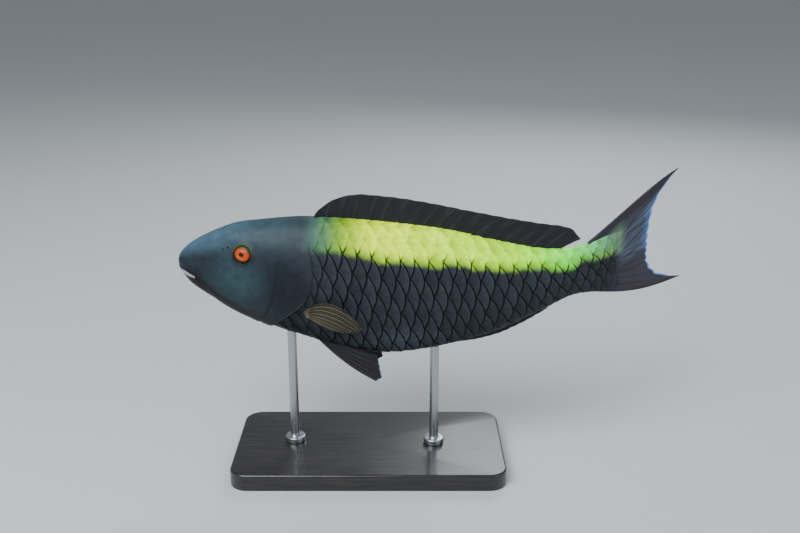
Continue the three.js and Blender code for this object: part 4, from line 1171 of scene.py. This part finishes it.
def eyeMaterial():
    # Cast eye with a painted iris under clear lacquer: orange red, olive above, dark pupil with a golden ring
    material, add = newMaterial("lacqueredGlassEye")
    x, y = (add("reading", attribute_name=name) for name in ("eyeX", "eyeY"))
    away = add("length", add("vector", x, y))
    # The iris and the pupil are ovals that tilt down towards the tail
    sine, cosine = (f(math.radians(eyeLook["tilt"])) for f in (math.sin, math.cos))
    along = add("timesPlus", y, -sine, add("times", x, cosine))
    over = add("timesPlus", y, cosine, add("times", x, sine))
    pupilWay = add("length", add("vector", along, add("over", over, eyeLook["pupilSquash"])))
    lowered = add("over", add("plus", over, eyeLook["irisLow"]), eyeLook["irisSquash"])
    irisWay = add("length", add("vector", along, lowered))
    spokes = add("vector", add("times", add("turn", y, x), 9.0), add("times", away, 0.5))
    spokes = add("noise", spokes, 1.0, 3.0)
    tone = add("blend", add("softStep", spokes, 0.35, 0.7), colour("#b02a00"), colour("#d85000"))
    tone = add("blend", add("times", add("softStep", over, -1.0, -5.0), 0.8), tone, colour("#b4680c"))
    tone = add("blend", add("times", add("softStep", irisWay, 4.6, 6.4), 0.6), tone, colour("#8a2004"))
    ring = eyeLook["pupil"]
    halo = add("times", add("softStep", pupilWay, ring + 1.2, ring + 0.5), 0.55)
    tone = add("blend", halo, tone, colour("#9a5208"))
    tone = add("blend", add("softStep", pupilWay, ring + 0.35, ring - 0.15), tone, colour("#15150a"))
    lid = add("blend", add("softStep", over, -1.0, 4.5), colour("#17150c"), colour("#3a4012"))
    tone = add("blend", add("softStep", irisWay, eyeLook["iris"] - 0.2, eyeLook["iris"] + 0.3), tone, lid)
    add("finish", add("surface", inputs={
        "Base Color": tone, "Roughness": 0.5, "Normal": add("relief", spokes, 0.25, 0.1 * mm),
        "Specular IOR Level": 0.2, "Coat Weight": 0.1, "Coat Roughness": 0.1,
    }))
    return material


beak = {
    "inset": -0.3, "wall": 2.6, "bite": 0.65, "gap": 0.35, "under": 0.6, "spread": 92,
    "columns": 110, "rows": 12, "teeth": 17, "toothSwell": 0.16, "furrow": 0.4, "toothEdge": 0.3,
    "middleAhead": 3, "searchReach": 40.0, "searchSteps": 26, "settleSteps": 8,
    "startHeight": -6.5, "rootSwellShare": 0.35, "seamWidth": 0.012, "edgeShare": 0.45,
}


def biteAt(station):
    return mix(upperLipAt(station), lowerLipAt(station), beak["bite"])


def snoutOutline(rise, turns):
    # Points of the body's outline at the given heights and turns about a place inside the snout
    middle, start = mouth["corner"] - beak["middleAhead"], skin["firstRing"]
    inside, outside = np.zeros(len(turns)), np.full(len(turns), beak["searchReach"])
    for _ in range(beak["searchSteps"]):
        half = (inside + outside) / 2
        x, y = middle - np.cos(turns) * half, np.sin(turns) * half
        within = (x > start) & (halfWidthAt(np.maximum(x, start), rise) > np.abs(y))
        inside, outside = np.where(within, half, inside), np.where(within, outside, half)
    return middle - np.cos(turns) * inside, np.sin(turns) * inside


def beakPlate(name, topAt, bottomAt, biteBelow, material):
    # A curved plate of fused teeth: its biting edge is faintly toothed, and a seam parts it in the middle
    columns, rows = beak["columns"], beak["rows"]
    limit = math.radians(beak["spread"])
    turns = np.repeat(np.linspace(-limit, limit, columns + 1), rows + 1)
    share = np.tile(np.arange(rows + 1) / rows, columns + 1)
    rise = np.full(len(turns), beak["startHeight"])
    for _ in range(beak["settleSteps"]):  # the heights settle, as the plate's edges slope with the station
        x, y = snoutOutline(rise, turns)
        rise = mix(topAt(x), bottomAt(x), share)
    toward = share if biteBelow else 1 - share
    tooth = np.abs(np.sin((turns / limit + 1) / 2 * math.pi * beak["teeth"]))
    lump = beak["toothSwell"] * tooth * mix(beak["rootSwellShare"], 1, toward)
    lump -= beak["furrow"] * bump(turns / limit, beak["seamWidth"])
    thin = mix(1, beak["edgeShare"], toward**2)
    rise = rise + beak["toothEdge"] * (1 - tooth) * toward**6 * (1 if biteBelow else -1)
    layers = []
    for inset in (beak["inset"] - lump, beak["inset"] + beak["wall"] * thin):
        layers.append(np.stack([x + np.cos(turns) * inset, y - np.sin(turns) * inset, rise], -1))
    points, faces = bend(np.concatenate(layers)), sheetFaces(columns, rows)
    return makePiece(name, points, faces, material, {"bead": [*tooth, *tooth]}, turnOut=True)


def toothMaterial():
    # Fused teeth: pale enamel, glossy, with painted shade in the furrows between them
    material, add = newMaterial("beakEnamel")
    bead = add("reading", attribute_name="bead")
    stain = add("noise", add("objectPlace"), perWidth(2.2), 4.0)
    # Painted shade: darker in the furrows between the teeth
    tone = add("blend", add("softStep", bead, 0.05, 0.4), colour("#6f6a6e"), colour("#a8a2aa"))
    tone = add("blend", add("times", add("softStep", stain, 0.5, 0.75), 0.35), tone, colour("#8c8478"))
    add("finish", add("surface", inputs={
        "Base Color": tone, "Roughness": 0.3, "Normal": add("relief", stain, 0.2, 0.1 * mm), "IOR": 1.6,
        "Coat Weight": 0.3, "Coat Roughness": 0.12,
    }))
    return material


# The stand

stand = {
    "length": 240, "width": 124, "thickness": 15, "corner": 16, "cornerSteps": 20,
    "bevel": 2, "bevelSteps": 6, "underBevel": 0.6, "edgeAngle": 35,
    "rodStations": (100, 226), "rodRadius": 4, "rodSides": 64, "rodSunk": 0.6, "gap": 0.3, "collarSteps": 4,
    "collarRadius": 9, "collarHeight": 5, "collarFillet": 0.6, "collarChamfer": 0.3, "collarRound": 1,
}


def ringLoft(name, rings, material):
    points = np.concatenate(rings + [np.mean(rings[0], 0)[None], np.mean(rings[-1], 0)[None]])
    piece = makePiece(name, points, ringFaces(len(rings), len(rings[0])), material, turnOut=True)
    piece.data.set_sharp_from_angle(angle=math.radians(stand["edgeAngle"]))
    return piece


def buildBase(material):
    long = stand["length"] / 2 - stand["corner"]
    wide = stand["width"] / 2 - stand["corner"]
    steps = stand["cornerSteps"]

    def ringAt(z, inset):
        ring = []
        for k, (sx, sy) in enumerate([(1, 1), (-1, 1), (-1, -1), (1, -1)]):
            for i in range(steps + 1):
                angle = (k + i / steps) * math.pi / 2
                radius = stand["corner"] - inset
                ring.append((sx * long + radius * math.cos(angle), sy * wide + radius * math.sin(angle), z))
        return np.array(ring)

    bevel, top = stand["bevel"], stand["thickness"]
    under = stand["underBevel"]
    profile = [(0, under), (under, 0), (top - bevel, 0)]
    for i in range(1, stand["bevelSteps"] + 1):
        turn = i / stand["bevelSteps"] * math.pi / 2
        profile.append((top - bevel + bevel * math.sin(turn), bevel * (1 - math.cos(turn))))
    return ringLoft("stand_base_lacquered", [ringAt(z, inset) for z, inset in profile], material)


def buildRod(name, station, material):
    centre = bend(np.array([[float(station), 0.0, 0.0]]))[0]
    low = stand["thickness"] + stand["gap"]
    high = body["snoutHeight"] + float(bodyAt(station)[1]) - stand["rodSunk"]
    wide, thin, top = stand["collarRadius"], stand["rodRadius"], low + stand["collarHeight"]
    chamfer, fillet, edge = stand["collarChamfer"], stand["collarFillet"], stand["collarRound"]
    profile = [(wide - chamfer, low), (wide, low + chamfer), (wide, top - edge)]
    for i in range(1, stand["collarSteps"] + 1):
        turn = i / stand["collarSteps"] * math.pi / 2
        profile.append((wide - edge + edge * math.cos(turn), top - edge + edge * math.sin(turn)))
    profile += [(thin + fillet, top), (thin, top + fillet), (thin, high)]
    rings = []
    for radius, z in profile:
        angles = np.linspace(0, 2 * math.pi, stand["rodSides"], endpoint=False)
        rings.append(np.stack([centre[0] + radius * np.cos(angles), centre[1] + radius * np.sin(angles),
                               np.full(len(angles), z)], -1))
    return ringLoft(name, rings, material)


def woodMaterial():
    # Ebonised oak under satin lacquer: nearly black, with open grain that runs along the base
    material, add = newMaterial("ebonisedOakLacquer")
    place = add("objectPlace")
    drawn = add("ShaderNodeMapping", inputs={"Vector": place, "Scale": (0.06, 1.0, 1.0)})
    grain = add("noise", drawn, perWidth(1.6), 5.0)
    tone = add("blend", add("softStep", grain, 0.35, 0.7), colour("#141215"), colour("#2b2523"))
    rough = add("range", add("noise", place, perWidth(30), 3.0), 0.0, 1.0, 0.26, 0.38)
    add("finish", add("surface", inputs={
        "Base Color": tone, "Roughness": rough, "Normal": add("relief", grain, 0.3, 0.2 * mm),
        "Coat Weight": 0.3, "Coat Roughness": 0.12,
    }))
    return material


def steelMaterial():
    # Brushed stainless steel: fine scratches round the rod, a soft streaked shine
    material, add = newMaterial("brushedStainlessSteel")
    drawn = add("ShaderNodeMapping", inputs={"Vector": add("objectPlace"), "Scale": (0.12, 0.12, 1.0)})
    brush = add("noise", drawn, perWidth(0.5), 3.0)
    add("finish", add("surface", inputs={
        "Base Color": add("blend", brush, colour("#8f9296"), colour("#c9cbce")), "Metallic": 1.0,
        "Roughness": add("range", brush, 0.0, 1.0, 0.22, 0.42),
        "Normal": add("relief", brush, 0.15, 0.05 * mm),
    }))
    return material


# The studio

studio = {
    "lens": 45, "distance": 860, "elevation": 18, "target": (27.5, 0, 182.6),
    "floorSize": 40000, "floorTone": "#c6c8c6", "floorShade": "#b2b4b2",
    "lights": [
        {"name": "key", "at": (-700, -1000, 1500), "size": 1100, "watts": 50, "tone": "#f3f8ff"},
        {"name": "fill", "at": (1300, -900, 700), "size": 1200, "watts": 8, "tone": "#e4efff"},
        {"name": "rim", "at": (500, 1300, 1100), "size": 800, "watts": 12, "tone": "#f4faff"},
    ],
    "worldTone": "#d8e2ea", "worldStrength": 0.42,
}


def aim(thing, place, target):
    bpy.context.scene.collection.objects.link(thing)
    thing.location = Vector(place.tolist())
    thing.rotation_euler = Vector((target - place).tolist()).to_track_quat("-Z", "Y").to_euler()


def buildStudio():
    # Matt painted floor with faint clouds of shade
    material, add = newMaterial("mattPaintedFloor")
    cloud = add("times", add("noise", add("objectPlace"), perWidth(400), 3.0), 0.15)
    tone = add("blend", cloud, colour(studio["floorTone"]), colour(studio["floorShade"]))
    add("finish", add("surface", inputs={"Base Color": tone, "Roughness": 0.85}))
    reach = studio["floorSize"] / 2
    corners = [(-reach, -reach, 0), (reach, -reach, 0), (reach, reach, 0), (-reach, reach, 0)]
    makePiece("floor", corners, [(0, 1, 2, 3)], material)
    target = np.array(studio["target"]) * mm
    for light in studio["lights"]:
        data = bpy.data.lights.new(light["name"], "AREA")
        data.size = light["size"] * mm
        data.energy = light["watts"]
        data.color = colour(light["tone"])[:3]
        aim(bpy.data.objects.new(light["name"], data), np.array(light["at"]) * mm, target)
    world = bpy.data.worlds.new("softRoom")
    bpy.context.scene.world = world
    world.use_nodes = True
    background = world.node_tree.nodes["Background"]
    background.inputs["Color"].default_value = colour(studio["worldTone"])
    background.inputs["Strength"].default_value = studio["worldStrength"]
    data = bpy.data.cameras.new("photoCamera")
    data.lens = studio["lens"]
    camera = bpy.data.objects.new("photoCamera", data)
    lift = math.radians(studio["elevation"])
    away = np.array([0, -math.cos(lift), math.sin(lift)]) * studio["distance"] * mm
    aim(camera, target + away, target)
    bpy.context.scene.camera = camera


# Putting it all together

skinPiece = buildSkin(skinMaterial())
print("skin:", len(skinPiece.data.polygons), "faces")
scalePiece = buildScales(scaleMaterial())
darkFin = darkFinMaterial("dorsalFinSkin", {
    "deep": "#0c0e13", "warm": "#16151d", "ray": "#342c32", "rim": "#4a4a52", "rimStrength": 0.3})
maroonFin = darkFinMaterial("pelvicFinSkin", {
    "deep": "#0a090d", "warm": "#150f16", "ray": "#21171f", "rim": "#4f6a90", "rimStrength": 0.12})
tailSkin = tailFinMaterial()
film = pectoralMaterial()
fins = {
    "dorsalFin": finSheet("dorsalFin", dorsalRays(), darkFin, rows=34, spines=dorsal["spines"], notch=0.015),
    "analFin": finSheet("analFin", analRays(), darkFin, rows=14, ray=1.4),
    "tailFin": finSheet("tailFin", caudalRays(), tailSkin, rows=44, perGap=16, ray=1.9, membrane=0.9,
                        root=2.5, branchFrom=0.25, notch=0.03),
}
for side, word in ((-1, "left"), (1, "right")):
    name = "pectoralFin_" + word
    fins[name] = finSheet(name, pectoralRays(side), film, ray=1.3, root=2.2, notch=0.02, branchFrom=0.9)
    name = "pelvicFin_" + word
    fins[name] = finSheet(name, pelvicRays(side), maroonFin, perGap=14, ray=1.6, root=2, notch=0.01)
print("fins:", len(fins))
glossyEye = eyeMaterial()
eyes = {side: buildEye(side, glossyEye) for side in (-1, 1)}
enamel = toothMaterial()
upperBeak = beakPlate("beakPlate_upper", lambda x: upperLipAt(x) + beak["under"],
                      lambda x: biteAt(x) + beak["gap"] / 2, True, enamel)
lowerBeak = beakPlate("beakPlate_lower", lambda x: biteAt(x) - beak["gap"] / 2,
                      lambda x: lowerLipAt(x) - beak["under"], False, enamel)
print("eyes and beak")
steel = steelMaterial()
basePiece = buildBase(woodMaterial())
rods = {
    "stand_rod_front": buildRod("rodFront_brushed", stand["rodStations"][0], steel),
    "stand_rod_rear": buildRod("rodRear_brushed", stand["rodStations"][1], steel),
}
print("stand")
buildStudio()

# Which solid each piece stands for
fleshNodes = ["head", "lower_jaw", "gill_cover_left", "gill_cover_right", "trunk", "tail_stalk"]
for piece, nodes, slot in [
    (skinPiece, fleshNodes, "skin_head"),
    (fins["dorsalFin"], ["dorsal_fin"], "fin_dark"),
    (fins["analFin"], ["anal_fin"], "fin_dark"),
    (fins["tailFin"], ["caudal_fin_upper", "caudal_fin_lower"], "fin_tail"),
    (fins["pectoralFin_left"], ["pectoral_fin_left"], "fin_amber"),
    (fins["pectoralFin_right"], ["pectoral_fin_right"], "fin_amber"),
    (fins["pelvicFin_left"], ["pelvic_fin_left"], "fin_dark"),
    (fins["pelvicFin_right"], ["pelvic_fin_right"], "fin_dark"),
    (eyes[-1], ["eye_left"], "eye"),
    (eyes[1], ["eye_right"], "eye"),
    (upperBeak, ["beak_upper"], "tooth"),
    (lowerBeak, ["beak_lower"], "tooth"),
    (basePiece, ["stand_base"], "stand_base"),
    (rods["stand_rod_front"], ["stand_rod_front"], "stand_metal"),
    (rods["stand_rod_rear"], ["stand_rod_rear"], "stand_metal"),
    (scalePiece, [], "skin_body"),
]:
    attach(piece, "root")
    if nodes:
        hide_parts(*nodes)
print("pieces are on the frame")
